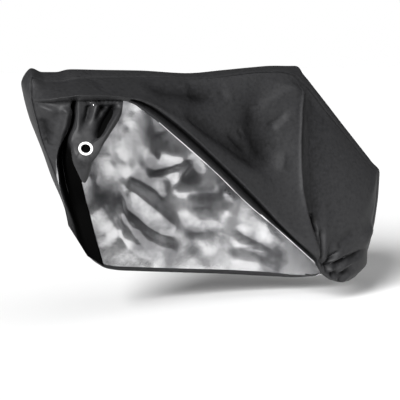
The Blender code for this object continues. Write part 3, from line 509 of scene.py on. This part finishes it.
def fold_height(folds, x, z):
    """Sum of the folds' heights at points of the side view."""
    total = np.zeros(np.shape(x))
    for fold in folds:
        path = np.array(fold.path)
        lengths = np.linalg.norm(np.diff(path, axis=0), axis=1)
        starts = np.concatenate([[0], np.cumsum(lengths)])
        highest = np.zeros(np.shape(x))
        for k, length in enumerate(lengths):
            ux, uz = (path[k + 1] - path[k]) / length
            t = np.clip((x - path[k, 0]) * ux + (z - path[k, 1]) * uz, 0, length)
            dx = x - path[k, 0] - t * ux
            dz = z - path[k, 1] - t * uz
            distance = np.hypot(dx, dz)
            side = (dz * ux - dx * uz) / np.maximum(distance, 0.1 * MM)
            width = 0.5 * (fold.left + fold.right + (fold.left - fold.right) * side)
            share = (starts[k] + t) / starts[-1]
            strength = ease(share / fold.grow) * ease((1 - share) / fold.fade)
            highest = np.maximum(highest, strength * np.exp(-((distance / width) ** FOLD_CREST)))
        total += fold.height * highest
    return total


def small_creases(scatter):
    """Folds scattered over a panel, each with a random place, direction, size and height."""
    rng = np.random.default_rng(scatter.seed)
    found = []
    for k in range(scatter.count):
        x = rng.uniform(scatter.x0, scatter.x1)
        z = rng.uniform(scatter.z0, scatter.z1)
        turn = rng.uniform(0, math.pi)
        length = rng.uniform(*SMALL_LENGTH)
        left, right = rng.uniform(*SMALL_WIDTH, 2)
        bend = rng.uniform(-SMALL_BEND, SMALL_BEND) * length
        end = (x + length * math.cos(turn), z + length * math.sin(turn))
        middle = (0.5 * (x + end[0]) - bend * math.sin(turn), 0.5 * (z + end[1]) + bend * math.cos(turn))
        height = scatter.height * rng.uniform(*SMALL_SHARE) * rng.choice((-1, 1))
        found.append(Fold("small", ((x, z), middle, end), left, right, height, SMALL_FADE, SMALL_FADE))
    return found


def fades(rows, shares):
    """Strength of the folds along a rib: none at the seam, full between, some kept at the hem."""
    rise, sink, kept = shares
    return ease(rows / rise) * ease((1.0 - rows) / sink + kept)


def grid_normals(grid):
    """Unit normals of a grid of points."""
    down = np.gradient(grid, axis=0)
    along = np.gradient(grid, axis=1)
    n = np.cross(along, down)
    return n / np.maximum(np.linalg.norm(n, axis=2), 1e-9)[..., None]


def near_points(cols, rows):
    """The near panel's ribs from the seam to the lip, then the ends of the cloth under it."""
    seam = near_seam(cols)
    lip = spot(NEAR_EDGES, "lip", cols)
    edge = spot(NEAR_EDGES, "edge", cols)
    shape = column(NEAR_EDGES, ("belly", "bow"), cols)
    out = np.zeros((len(rows), len(cols), 3))
    for i, v in enumerate(rows):
        swell = shape[:, 0] * math.sin(math.pi * v**SWELL_BIAS)
        bow = shape[:, 1] * math.sin(math.pi * v)
        out[i] = seam + (lip - seam) * v + np.stack([-bow, -swell, SWELL_RISE * swell], -1)
    folds = NEAR_FOLDS + small_creases(NEAR_SCATTER)
    height = fold_height(folds, out[..., 0], out[..., 2]) + gather_depth(cols, rows)
    height = height * fades(rows, NEAR_FADES)[:, None]
    out = out - grid_normals(out) * height[..., None]
    out[0] = seam
    # with the shade painted into each hollow of its folds
    return out, lip, edge, hollow_shade(height, NEAR_SHADE_DEPTH)


def hollow_shade(height, full):
    """Shade painted into the folds: how far each point lies in a hollow of them, from 0 to 1 at the full
    depth.
    """
    return np.clip(-height / full, 0, 1)


def lifted_share(cols):
    """1 along the lifted hem, 0 along the eave and round the gathered corner."""
    eave = 1 - ease((cols - FLAP_END) / EAVE_FADE)
    return (1 - eave) * (1 - ease((cols - KNOT_START) / (KNOT_END - KNOT_START)))


def gather_depth(cols, rows):
    """Pleats drawn in by the elastic at the gathered corner, deeper towards the hem."""
    total = np.zeros((len(rows), len(cols)))
    for p in PLEATS:
        across = np.exp(-(((cols - p.station) / p.width) ** 2))
        along = ease((rows - p.start) / (1.0 - p.start))
        total = total + p.depth * along[:, None] * across[None, :]
    return total


def under_rows(cols, lip, edge):
    """Rows that round the lip and run behind it to the edge."""
    eave = 1 - ease((cols - FLAP_END) / EAVE_FADE)[:, None]
    band = lifted_share(cols)[:, None]
    out = []
    for k in range(1, UNDER_ROWS + 1):
        t = k / UNDER_ROWS
        arch = math.sin(math.pi * t)
        straight = lip * (1 - t) + edge * t
        dip = band * np.array(HEM_TUCK) * (1 - t) ** 2 + eave * np.array(EAVE_DROP)
        out.append(straight + dip * arch)
    return np.stack(out)


def front_points(cols, downs):
    """Near front below the eave: rows down the sections, columns from the seam to the lock corner."""
    seam = near_seam(downs)
    fold = spot(FRONTS, "fold", downs)
    valley = spot(FRONTS, "valley", downs)
    end = spot(FRONTS, "end", downs)
    stops = [CORNER, FOLD_STATION, VALLEY_STATION, FLAP_STATION]
    out = np.zeros((len(downs), len(cols), 3))
    for i in range(len(downs)):
        points = np.stack([seam[i], fold[i], valley[i], end[i]])
        for k in range(3):
            out[i, :, k] = np.interp(cols, stops, points[:, k])
        span = np.linalg.norm(fold[i] - seam[i])
        across = np.clip((cols - CORNER) / (FOLD_STATION - CORNER), 0, 1)
        swell = FRONT_SWELL * span * np.sin(math.pi * across)
        out[i, :, 1] -= swell
        out[i, :, 0] -= FRONT_FORWARD * swell
    room = ease((cols - CORNER) / FRONT_EASE) * ease((FOLD_STATION + FRONT_FOLD_ROOM - cols) / FRONT_EASE)
    top = ease((UNDER_NOTCH - downs) / FRONT_EASE)
    height = fold_height(FRONT_FOLDS, out[..., 0], out[..., 2]) * room[None, :] * top[:, None]
    # Shade painted over the deep pleat behind the standing fold: over all the cloth behind it low down, only
    # into the valley higher up; and into each hollow of the folds.
    behind = ease((cols - FOLD_STATION) / PLEAT_SHADE_EASE)[None, :]
    out_of_valley = ease((cols - VALLEY_STATION - VALLEY_SHADE_END) / VALLEY_SHADE_EASE)[None, :]
    beside = 1 - ease((downs - PLEAT_OPENS) / PLEAT_NARROWS)[:, None] * out_of_valley
    deep = np.maximum(behind * beside, hollow_shade(height, FRONT_SHADE_DEPTH))
    return out - grid_normals(out) * height[..., None], deep


def flap_points(cols, downs, left):
    """Lock corner: rows down from the eave, columns from the valley's end to the free hem."""
    hem = spot(FLAPS, "hem", downs)
    shape = column(FLAPS, ("belly", "sag"), downs)
    s = (cols - FLAP_STATION) / (FLAP_END - FLAP_STATION)
    out = left[:, None, :] * (1 - s)[None, :, None] + hem[:, None, :] * s[None, :, None]
    arch = np.sin(math.pi * s)
    out[..., 1] -= shape[:, 0:1] * arch[None, :]
    out[..., 2] -= shape[:, 1:2] * arch[None, :]
    room = fades(s, FLAP_FADES)
    top = ease((UNDER_NOTCH - downs) / FLAP_EASE)
    height = fold_height(FLAP_FOLDS, out[..., 0], out[..., 2]) * room[None, :] * top[:, None]
    # with the shade painted into each hollow of its folds
    return out - grid_normals(out) * height[..., None], hollow_shade(height, FRONT_SHADE_DEPTH)


def eyelet_axes():
    """The eyelet's sideways, upward and facing directions."""
    n = np.array([
        math.sin(EYELET_TURN) * math.cos(EYELET_TILT),
        -math.cos(EYELET_TURN) * math.cos(EYELET_TILT),
        math.sin(EYELET_TILT),
    ])
    side = np.array([math.cos(EYELET_TURN), math.sin(EYELET_TURN), 0.0])
    return side, np.cross(n, side), n


def flatten_round_eyelet(grid):
    """Lay the cloth flat where the eyelet's flanges hold it."""
    n = eyelet_axes()[2]
    offset = grid - np.array(EYELET_CENTRE)
    height = offset @ n
    plane = grid - height[..., None] * n
    distance = np.linalg.norm(plane - np.array(EYELET_CENTRE), axis=-1)
    w = 1 - ease((distance - FLAT_RADIUS) / (BLEND_RADIUS - FLAT_RADIUS))
    return grid * (1 - w[..., None]) + plane * w[..., None]


def far_points(cols, seam):
    """The far panel's ribs: out along the roof, then down to the hem."""
    hem = column(FAR_HEMS, ("x", "y", "z"), cols)
    shape = column(FAR_HEMS, ("reach", "lead", "belly"), cols)
    run_out = np.stack([shape[:, 1], np.full(len(cols), FAR_OUT), np.full(len(cols), FAR_DOWN)], -1)
    turn = seam + shape[:, 0:1] * run_out
    low = hem + (seam - hem) * np.array(FAR_LEAN) + shape[:, 2:3] * np.array([0.0, FAR_BELLY, 0.0])
    rows = spaced([Run(*r) for r in FAR_ROWS])
    out = np.zeros((len(rows), len(cols), 3))
    for i, v in enumerate(rows):
        out[i] = seam * (1 - v) ** 3 + turn * 3 * v * (1 - v) ** 2 + low * 3 * v * v * (1 - v) + hem * v**3
    folds = FAR_FOLDS + small_creases(FAR_SCATTER)
    height = fold_height(folds, out[..., 0], out[..., 2])
    ends = ease(cols / FAR_EASE) * ease((REAR_HEM - cols) / FAR_EASE)
    height = height * fades(rows, FAR_FADES)[:, None] * ends[None, :]
    out = out - grid_normals(out) * height[..., None]
    out[0] = seam
    # with the shade painted into each hollow of its folds
    return out, hollow_shade(height, FAR_SHADE_DEPTH)


def lengths_down(grid):
    """Distance of each point of a grid from its column's last point, along the column."""
    steps = np.linalg.norm(np.diff(grid, axis=0), axis=2)
    return np.concatenate([np.cumsum(steps[::-1], axis=0)[::-1], np.zeros((1, grid.shape[1]))])


class Panel:
    """One panel of cloth: grids of middle-surface points, welded where they share a place."""

    def __init__(self, name):
        self.name = name
        self.points = []
        self.hems = []
        self.painted_shades = []
        self.quads = []
        self.count = 0

    def add_points(self, points, hems, painted_shades):
        """Points with their distances from the free hem and the shade painted on them. Returns the first
        one's number.
        """
        first = self.count
        self.points.append(np.reshape(points, (-1, 3)))
        self.hems.append(np.reshape(hems, -1))
        self.painted_shades.append(np.reshape(painted_shades, -1))
        self.count += len(self.points[-1])
        return first

    def add_grid(self, grid, hems, flip, painted_shades, block=None):
        """Points with their distances from the free hem and the shade painted on them, and cells outside the
        block.
        """
        rows, cols = grid.shape[:2]
        index = self.add_points(grid, hems, painted_shades) + np.arange(rows * cols).reshape(rows, cols)
        cells = np.stack([index[:-1, :-1], index[:-1, 1:], index[1:, 1:], index[1:, :-1]], -1)
        keep = np.ones(cells.shape[:2], bool)
        if block is not None:
            keep[block[0] : block[1], block[2] : block[3]] = False
        cells = cells[keep]
        self.quads.append(cells[:, ::-1] if flip else cells)
        return index

    def add_ring(self, outer, inner):
        """Cells between two loops of points."""
        self.quads.append(np.stack([np.roll(outer, -1), outer, inner, np.roll(inner, -1)], -1))

    def weld(self):
        """Join the points that share a place. The nearest hem and the darkest painted shade count."""
        points = np.concatenate(self.points)
        keys = np.round(points, 6)
        _, first, back = np.unique(keys, axis=0, return_index=True, return_inverse=True)
        back = back.reshape(-1)
        hems = np.full(len(first), np.inf)
        np.minimum.at(hems, back, np.concatenate(self.hems))
        painted_shades = np.zeros(len(first))
        np.maximum.at(painted_shades, back, np.concatenate(self.painted_shades))
        self.middle = points[first]
        self.hem = hems
        self.deep = painted_shades
        self.faces = back[np.concatenate(self.quads)]

    def edges(self):
        """Edges that only one face uses, in that face's direction."""
        a = self.faces.reshape(-1)
        b = np.roll(self.faces, -1, axis=1).reshape(-1)
        code = np.minimum(a, b) * len(self.middle) + np.maximum(a, b)
        _, back, uses = np.unique(code, return_inverse=True, return_counts=True)
        open_edge = uses[back.reshape(-1)] == 1
        return np.stack([a[open_edge], b[open_edge]], -1)


def shared_normals(panels):
    """A normal for each point of each panel, the same for all panels that meet there."""
    points = np.concatenate([p.middle for p in panels])
    _, back = np.unique(np.round(points, 6), axis=0, return_inverse=True)
    back = back.reshape(-1)
    total = np.zeros((back.max() + 1, 3))
    first = 0
    for p in panels:
        corners = p.middle[p.faces]
        normal = np.cross(corners[:, 2] - corners[:, 0], corners[:, 3] - corners[:, 1])
        for k in range(4):
            np.add.at(total, back[first + p.faces[:, k]], normal)
        first += len(p.middle)
    total /= np.maximum(np.linalg.norm(total, axis=1), 1e-12)[:, None]
    return np.split(total[back], np.cumsum([len(p.middle) for p in panels])[:-1])


def placed(name, data):
    """An object of this name in the scene."""
    made = bpy.data.objects.new(name, data)
    bpy.context.scene.collection.objects.link(made)
    return made


def surface(name, points, faces, materials, unshaded, shown=None):
    """A smooth mesh in the scene. Its point attribute open is 1 where no shade is painted and 0 where the
    painted shade is darkest. shown: the faces' materials.
    """
    mesh = bpy.data.meshes.new(name)
    mesh.from_pydata((points - np.array(TOP_POINT)).tolist(), [], faces)
    for m in materials:
        mesh.materials.append(m)
    if shown is not None:
        mesh.polygons.foreach_set("material_index", shown)
    kept = mesh.attributes.new("open", "FLOAT", "POINT")
    kept.data.foreach_set("value", unshaded.astype(np.float32))
    mesh.shade_smooth()
    mesh.update()
    return placed(name, mesh)


def sides_shown(panel):
    """Whether each outer face, and each inner face, shows the silver coating."""
    centres = panel.middle[panel.faces].mean(1)
    hems = panel.hem[panel.faces].mean(1)
    lifted = (centres[:, 0] > LINED_EDGE[0]) & (centres[:, 0] < LINED_EDGE[1])
    outer = (panel.name == "near_side_cloth") & lifted & (hems < EDGE_SHOWN)
    inner = (panel.name != "far_side_cloth") | (hems >= FAR_BAND)
    return outer, inner


def cloth_object(panel, normals, black, silver):
    """A thin closed sheet: outer side, inner side and rim."""
    turned = ease((HEM_WIDTH + HEM_STEP - panel.hem) / HEM_STEP)
    half = 0.5 * (CLOTH + (HEM_CLOTH - CLOTH) * turned)
    count = len(panel.middle)
    offset = normals * half[:, None]
    points = np.concatenate([panel.middle + offset, panel.middle - offset])
    rim = panel.edges()
    rims = np.stack([rim[:, 1], rim[:, 0], rim[:, 0] + count, rim[:, 1] + count], -1)
    faces = np.concatenate([panel.faces, panel.faces[:, ::-1] + count, rims])
    shown = np.concatenate([*sides_shown(panel), np.ones(len(rims))]).astype(np.int32)
    # painted shade on both sides of the cloth: open is 1 where none is painted
    unshaded = np.tile(1 - panel.deep, 2)
    return surface(panel.name, points, faces.tolist(), [black, silver], unshaded, shown)


def joined(size, pairs):
    """Faces between closed profiles of so many points, for pairs of profile numbers."""
    turns = [(k, (k + 1) % size) for k in range(size)]
    return [(a * size + k, a * size + m, b * size + m, b * size + k) for a, b in pairs for k, m in turns]


def swept(name, line, side, up, profile, material):
    """A closed bar along a line from a closed profile of (sideways, height) points."""
    size = len(profile)
    points = [p + s * a + u * b for p, s, u in zip(line, side, up) for a, b in profile]
    faces = joined(size, [(i, i + 1) for i in range(len(line) - 1)])
    faces.append(tuple(range(size))[::-1])
    faces.append(tuple((len(line) - 1) * size + k for k in range(size)))
    return surface(name, np.array(points), faces, [material], np.ones(len(points)))


def felled_seam(name, line, across, material):
    """The raised seam that joins two panels. across points sideways over the seam, in the cloth."""
    along = np.gradient(line, axis=0)
    along /= np.linalg.norm(along, axis=1)[:, None]
    up = np.cross(across, along)
    up /= np.linalg.norm(up, axis=1)[:, None]
    side = np.cross(along, up)
    turns = np.linspace(0, math.pi, 9)
    arch = [(SEAM_HALF * math.cos(a), 0.5 * CLOTH + SEAM_HEIGHT * math.sin(a) ** SEAM_ROUND) for a in turns]
    base = [(-SEAM_HALF, -SEAM_SUNK * CLOTH), (SEAM_HALF, -SEAM_SUNK * CLOTH)]
    return swept(name, line, side, up, arch + base, material)


def eyelet_ring(material):
    """The ring turned round the eyelet's axis: a rounded front flange, a flat back flange, the barrel."""
    side, up, n = eyelet_axes()
    gap = 0.5 * CLOTH
    middle = 0.5 * (HOLE_RADIUS + FLANGE_RADIUS)
    half = 0.5 * (FLANGE_RADIUS - HOLE_RADIUS)
    profile = [
        (middle + half * math.cos(a), gap + FLANGE_LIFT + FLANGE_HEIGHT * math.sin(a) ** FLANGE_ROUND)
        for a in np.linspace(0, math.pi, 15)
    ]
    profile += [(radius, -gap - depth) for radius, depth in RING_BACK]
    profile.append((BARREL_RADIUS, gap + 0.1 * MM))
    points = []
    for s in range(EYELET_SEGMENTS):
        a = 2 * math.pi * s / EYELET_SEGMENTS
        spoke = side * math.cos(a) + up * math.sin(a)
        points += [np.array(EYELET_CENTRE) + spoke * radius + n * height for radius, height in profile]
    faces = joined(len(profile), [(s, (s + 1) % EYELET_SEGMENTS) for s in range(EYELET_SEGMENTS)])
    ring = surface("eyelet_ring", np.array(points), faces, [material], np.ones(len(points)))
    ring.data.set_sharp_from_angle(angle=math.radians(60))
    return ring


def round_hole(panel, index, block):
    """Fill the block left out of the lock corner's grid by a flat patch with a round hole."""
    r0, r1, c0, c1 = block
    loop = [*index[r0, c0:c1], *index[r0:r1, c1], *index[r1, c1:c0:-1], *index[r1:r0:-1, c0]]
    points = np.concatenate(panel.points)[loop]
    side, up, _ = eyelet_axes()
    centre = np.array(EYELET_CENTRE)
    around = np.unwrap(np.arctan2((points - centre) @ up, (points - centre) @ side))
    turn = np.sign(around[-1] - around[0]) * 2 * math.pi
    even = around[0] + turn * np.arange(len(loop)) / len(loop)
    even += np.mean(around - even)
    outer = np.array(loop)
    for k, radius in enumerate(PATCH_RADII + (CUT_RADIUS,)):
        mix = (k + 1) / (len(PATCH_RADII) + 1)
        a = around * (1 - mix) + even * mix
        ring = centre + radius * (np.cos(a)[:, None] * side + np.sin(a)[:, None] * up)
        first = panel.add_points(ring, np.ones(len(loop)), np.zeros(len(loop)))
        inner = first + np.arange(len(loop))
        panel.add_ring(outer, inner)
        outer = inner


def lock_corner_panel(flap, painted_shades):
    """The lock corner with its hole for the eyelet, and its free hem turned under, on which shade is painted
    all over.
    """
    panel = Panel("lock_corner_cloth")
    side, up, _ = eyelet_axes()
    from_eyelet = flap - np.array(EYELET_CENTRE)
    inside = np.argwhere(np.maximum(np.abs(from_eyelet @ side), np.abs(from_eyelet @ up)) < BLOCK_RADIUS)
    block = (inside[:, 0].min() - 1, inside[:, 0].max() + 1, inside[:, 1].min() - 1, inside[:, 1].max() + 1)
    hem = np.minimum(np.linalg.norm(flap - flap[:, -1:], axis=2), lengths_down(flap))
    index = panel.add_grid(flap, hem, True, painted_shades, block)
    turn = np.linspace(0, 1, TURN_CELLS + 1)[None, :, None]
    inward = flap[:, ::-1][:, : TURN_REACH + 1][:, :: TURN_REACH // TURN_CELLS]
    gap = np.array(TURN_GAP) * np.minimum(turn * TURN_CELLS / 2, 1.0)
    turned = inward + gap * ease(np.arange(len(flap)) / 4)[:, None, None]
    # painted shade: the cloth turned under is fully shaded, so the eyelet's hole looks dark
    panel.add_grid(turned, np.ones(turned.shape[:2]), False, np.ones(turned.shape[:2]))
    round_hole(panel, index, block)
    return panel


def build_cloth(black, silver):
    """The near side, far side, centre strip and lock corner, then the two seams."""
    ridge = spaced(RIDGE_RUNS)
    rows = np.linspace(0, 1, ROOF_ROWS + 1) ** ROOF_BIAS
    nose = CORNER - (CORNER - NOTCH) * rows
    under = np.linspace(NOTCH, UNDER_NOTCH, UNDER_ROWS + 1)[1:]
    downs = spaced(FRONT_RUNS)
    run = np.concatenate([nose, under, downs[1:]])[::-1]
    stations = np.concatenate([run, ridge[1:]])
    at_flap = int(np.argmin(np.abs(ridge - FLAP_STATION)))
    at_end = int(np.argmin(np.abs(ridge - FLAP_END)))
    at_tip = int(np.argmin(np.abs(downs - FLAP_TIP)))

    roof, lip, edge, roof_shade = near_points(ridge, rows)
    # Shadow painted into the groove between the lip and the hem band along the lifted hem, added to the
    # shade painted into the roof's folds.
    tuck_shadow = np.exp(-(((np.arange(1, UNDER_ROWS + 1) / UNDER_ROWS - TUCK_SHADOW_PLACE) / TUCK_SHADOW_WIDTH) ** 2))
    near_shade = np.concatenate([roof_shade, tuck_shadow[:, None] * lifted_share(ridge)[None, :]])
    near = np.concatenate([roof, under_rows(ridge, roof[-1], edge)])
    near[:, 0] = near_seam(np.concatenate([nose, under]))
    front, front_shade = front_points(ridge[: at_flap + 1], downs)
    front[0] = near[-1, : at_flap + 1]
    front[:, 0] = near_seam(downs)
    flap, flap_shade = flap_points(ridge[at_flap : at_end + 1], downs[: at_tip + 1], front[: at_tip + 1, -1])
    flap = flatten_round_eyelet(flap)
    flap[0] = near[-1, at_flap : at_end + 1]
    flap[:, 0] = front[: at_tip + 1, -1]
    strip = strip_points(stations)
    far, far_shade = far_points(stations, strip[:, -1])

    near_side = Panel("near_side_cloth")
    near_hem = lengths_down(near)
    near_hem[:, : at_end + 1] = 1.0
    near_side.add_grid(near, near_hem, True, near_shade)
    front_hem = np.minimum(lengths_down(front), 1.0)
    beside = np.linalg.norm(front - front[:, -1:], axis=2)
    front_hem[at_tip:] = np.minimum(front_hem[at_tip:], beside[at_tip:])
    near_side.add_grid(front, front_hem, True, front_shade)
    far_side = Panel("far_side_cloth")
    far_side.add_grid(far, lengths_down(far), False, far_shade)
    centre_strip = Panel("centre_strip_cloth")
    strip_hem = np.minimum(lengths_down(strip), lengths_down(strip[::-1])[::-1])
    centre_strip.add_grid(strip, strip_hem, True, np.zeros(strip_hem.shape))

    panels = [near_side, far_side, centre_strip, lock_corner_panel(flap, flap_shade)]
    for panel in panels:
        panel.weld()
    shown = [cloth_object(panel, n, black, silver) for panel, n in zip(panels, shared_normals(panels))]
    seams = [
        felled_seam("near_seam", strip[:, 0], strip[:, 0] - strip[:, 1], black),
        felled_seam("far_seam", strip[:, -1], strip[:, -2] - strip[:, -1], black),
    ]
    return shown, seams


def principled(name, color, roughness, **more):
    """A material with its node tree and shader. more: other constants of the shader."""
    made = bpy.data.materials.new(name)
    made.use_nodes = True
    shader = made.node_tree.nodes["Principled BSDF"]
    shader.inputs["Base Color"].default_value = (*color, 1.0)
    shader.inputs["Roughness"].default_value = roughness
    for key, value in more.items():
        shader.inputs[key.replace("_", " ")].default_value = value
    return made, made.node_tree, shader


def node(tree, kind, **settings):
    """A node with its settings and the constants on its sockets."""
    made = tree.nodes.new(kind)
    for key, value in settings.items():
        if key in made.inputs:
            made.inputs[key].default_value = value
        else:
            setattr(made, key, value)
    return made


def join(tree, source, output, target, slot):
    """Link one node's output to another's input."""
    tree.links.new(source.outputs[output], target.inputs[slot])


def noise_over(tree, coords, **settings):
    """Noise over the piece, in the frame's axes."""
    made = node(tree, "ShaderNodeTexNoise", **settings)
    join(tree, coords, "Object", made, "Vector")
    return made


def weave_bump(tree, shader, strength, wrinkles, height):
    """Plain weave over fine wrinkles, as bump. wrinkles: the noise's scale. height: how high they stand."""
    coords = node(tree, "ShaderNodeTexCoord")
    product = node(tree, "ShaderNodeMath", operation="MULTIPLY")
    for k, direction in enumerate("XZ"):
        wave = node(tree, "ShaderNodeTexWave", bands_direction=direction, Scale=1.0 / (20 * WEAVE_PITCH))
        join(tree, coords, "Object", wave, "Vector")
        join(tree, wave, "Fac", product, k)
    weave = node(tree, "ShaderNodeBump", Strength=strength, Distance=WEAVE_HEIGHT)
    join(tree, product, 0, weave, "Height")
    noise = noise_over(tree, coords, Scale=wrinkles, Detail=5.0, Roughness=0.55, Distortion=0.6)
    bump = node(tree, "ShaderNodeBump", Strength=1.0, Distance=height)
    join(tree, noise, "Fac", bump, "Height")
    join(tree, weave, "Normal", bump, "Normal")
    join(tree, bump, "Normal", shader, "Normal")
    return coords


def ramp_of(tree, stops):
    """A colour ramp through (place, colour) stops."""
    ramp = tree.nodes.new("ShaderNodeValToRGB")
    while len(ramp.color_ramp.elements) < len(stops):
        ramp.color_ramp.elements.new(0.5)
    for stop, (place, color) in zip(ramp.color_ramp.elements, stops):
        stop.position = place
        stop.color = (*color, 1.0)
    return ramp


def mottled_with_painted_shade(tree, shader, noise, colors):
    """Base colour that runs through the colours with the noise, and to the first one as painted shade where
    the point attribute open is low.
    """
    unshaded_node = node(tree, "ShaderNodeAttribute", attribute_name="open")
    product = node(tree, "ShaderNodeMath", operation="MULTIPLY")
    join(tree, noise, "Fac", product, 0)
    join(tree, unshaded_node, "Fac", product, 1)
    ramp = ramp_of(tree, colors)
    join(tree, product, 0, ramp, "Fac")
    join(tree, ramp, "Color", shader, "Base Color")
    return unshaded_node


def black_cloth():
    """Matt black weave with painted shade: where the point attribute open is low its colour darkens and its
    sheen dies away.
    """
    made, tree, shader = principled("black_cloth", BLACK, 0.58)
    coords = weave_bump(tree, shader, strength=0.35, wrinkles=22.0, height=1.6 * MM)
    # the first tone is painted shade; the others differ at random
    tones = ((0.05, BLACK_PAINTED_SHADE), (0.40, BLACK_LOW), (0.62, BLACK_HIGH))
    unshaded_node = mottled_with_painted_shade(tree, shader, noise_over(tree, coords, Scale=60.0, Detail=6.0), tones)
    # painted shade: the sheen dies away where the attribute open is low, like the colour
    sheen = node(tree, "ShaderNodeMath", operation="MULTIPLY")
    sheen.inputs[1].default_value = BLACK_SHEEN
    join(tree, unshaded_node, "Fac", sheen, 0)
    join(tree, sheen, 0, shader, "Specular IOR Level")
    return made


def silver_coating():
    """The metal-like coating inside the cover, crinkled with the weave, and darkened as painted shade where
    the point attribute open is low.
    """
    made, tree, shader = principled("silver_coating", SILVER, 0.27, Metallic=0.85)
    coords = weave_bump(tree, shader, strength=0.20, wrinkles=7.0, height=3.0 * MM)
    # the first tone is painted shade; the others differ at random
    tones = ((0.08, SILVER_PAINTED_SHADE), (0.40, SILVER_LOW), (0.58, SILVER))
    mottled_with_painted_shade(tree, shader, noise_over(tree, coords, Scale=6.0, Detail=7.0), tones)
    return made


def white_plastic():
    """White plastic with a fine grain."""
    made, tree, shader = principled("white_plastic", WHITE, 0.32)
    noise = noise_over(tree, node(tree, "ShaderNodeTexCoord"), Scale=240.0)
    mottled_with_painted_shade(tree, shader, noise, ((0.30, WHITE_LOW), (0.70, WHITE_HIGH)))
    bump = node(tree, "ShaderNodeBump", Strength=0.3, Distance=0.05 * MM)
    join(tree, noise, "Fac", bump, "Height")
    join(tree, bump, "Normal", shader, "Normal")
    return made


def soft_sun(light):
    """Even light from one direction, with the soft edges of a large lamp far away."""
    data = bpy.data.lights.new(light.name, "SUN")
    data.energy = light.strength
    data.angle = math.radians(light.softness)
    turn, rise = math.radians(light.azimuth), math.radians(light.elevation)
    toward = Vector((-math.sin(turn) * math.cos(rise), -math.cos(turn) * math.cos(rise), math.sin(rise)))
    made = placed(light.name, data)
    made.rotation_mode = "QUATERNION"
    made.rotation_quaternion = toward.to_track_quat("Z", "Y")


def studio():
    """Plain pale floor under the cover, white surroundings, soft lights."""
    mesh = bpy.data.meshes.new("floor")
    s = FLOOR_SIZE / 2
    z = -TOP_POINT[2]
    mesh.from_pydata([(-s, -s, z), (s, -s, z), (s, s, z), (-s, s, z)], [], [(0, 1, 2, 3)])
    floor = placed("floor", mesh)
    mesh.materials.append(principled("floor", FLOOR, 0.9, Specular_IOR_Level=0.1)[0])
    world = bpy.data.worlds.new("studio")
    bpy.context.scene.world = world
    world.use_nodes = True
    tree = world.node_tree
    direction = node(tree, "ShaderNodeTexCoord")
    parts = node(tree, "ShaderNodeSeparateXYZ")
    ramp = ramp_of(tree, [(place, (grey, grey, grey)) for place, grey in SKY])
    join(tree, direction, "Generated", parts, 0)
    join(tree, parts, "Z", ramp, "Fac")
    seen = node(tree, "ShaderNodeLightPath")
    backdrop = node(tree, "ShaderNodeMix", data_type="RGBA")
    backdrop.inputs["B"].default_value = (1.0, 1.0, 1.0, 1.0)
    join(tree, seen, "Is Camera Ray", backdrop, "Factor")
    join(tree, ramp, "Color", backdrop, "A")
    join(tree, backdrop, "Result", tree.nodes["Background"], "Color")
    for light in LIGHTS:
        soft_sun(light)
    bpy.context.scene.view_settings.view_transform = "Standard"


def camera():
    """The camera, looking at a point inside the cover."""
    data = bpy.data.cameras.new("camera")
    data.lens = CAMERA_LENS
    data.sensor_width = CAMERA_SENSOR
    data.clip_end = 100.0
    made = placed("camera", data)
    made.location = CAMERA_PLACE
    made.rotation_mode = "QUATERNION"
    made.rotation_quaternion = (Vector(CAMERA_PLACE) - Vector(CAMERA_AIM)).to_track_quat("Z", "Y")
    bpy.context.scene.camera = made


def main():
    """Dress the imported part."""
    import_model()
    black = black_cloth()
    silver = silver_coating()
    (near, far, strip, corner), seams = build_cloth(black, silver)
    ring = eyelet_ring(white_plastic())
    pieces = [
        (near, "near_side", "side_cloth_near"),
        (far, "far_side", "side_cloth_far"),
        (strip, "centre_strip", "strip_cloth"),
        (corner, "lock_corner", "corner_cloth"),
        (ring, "eyelet", "eyelet_plastic"),
    ]
    for piece, stands_for, slot in pieces:
        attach(piece, "root")
        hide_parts(stands_for)
    for seam in seams:
        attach(seam, "root")
    studio()
    camera()


main()
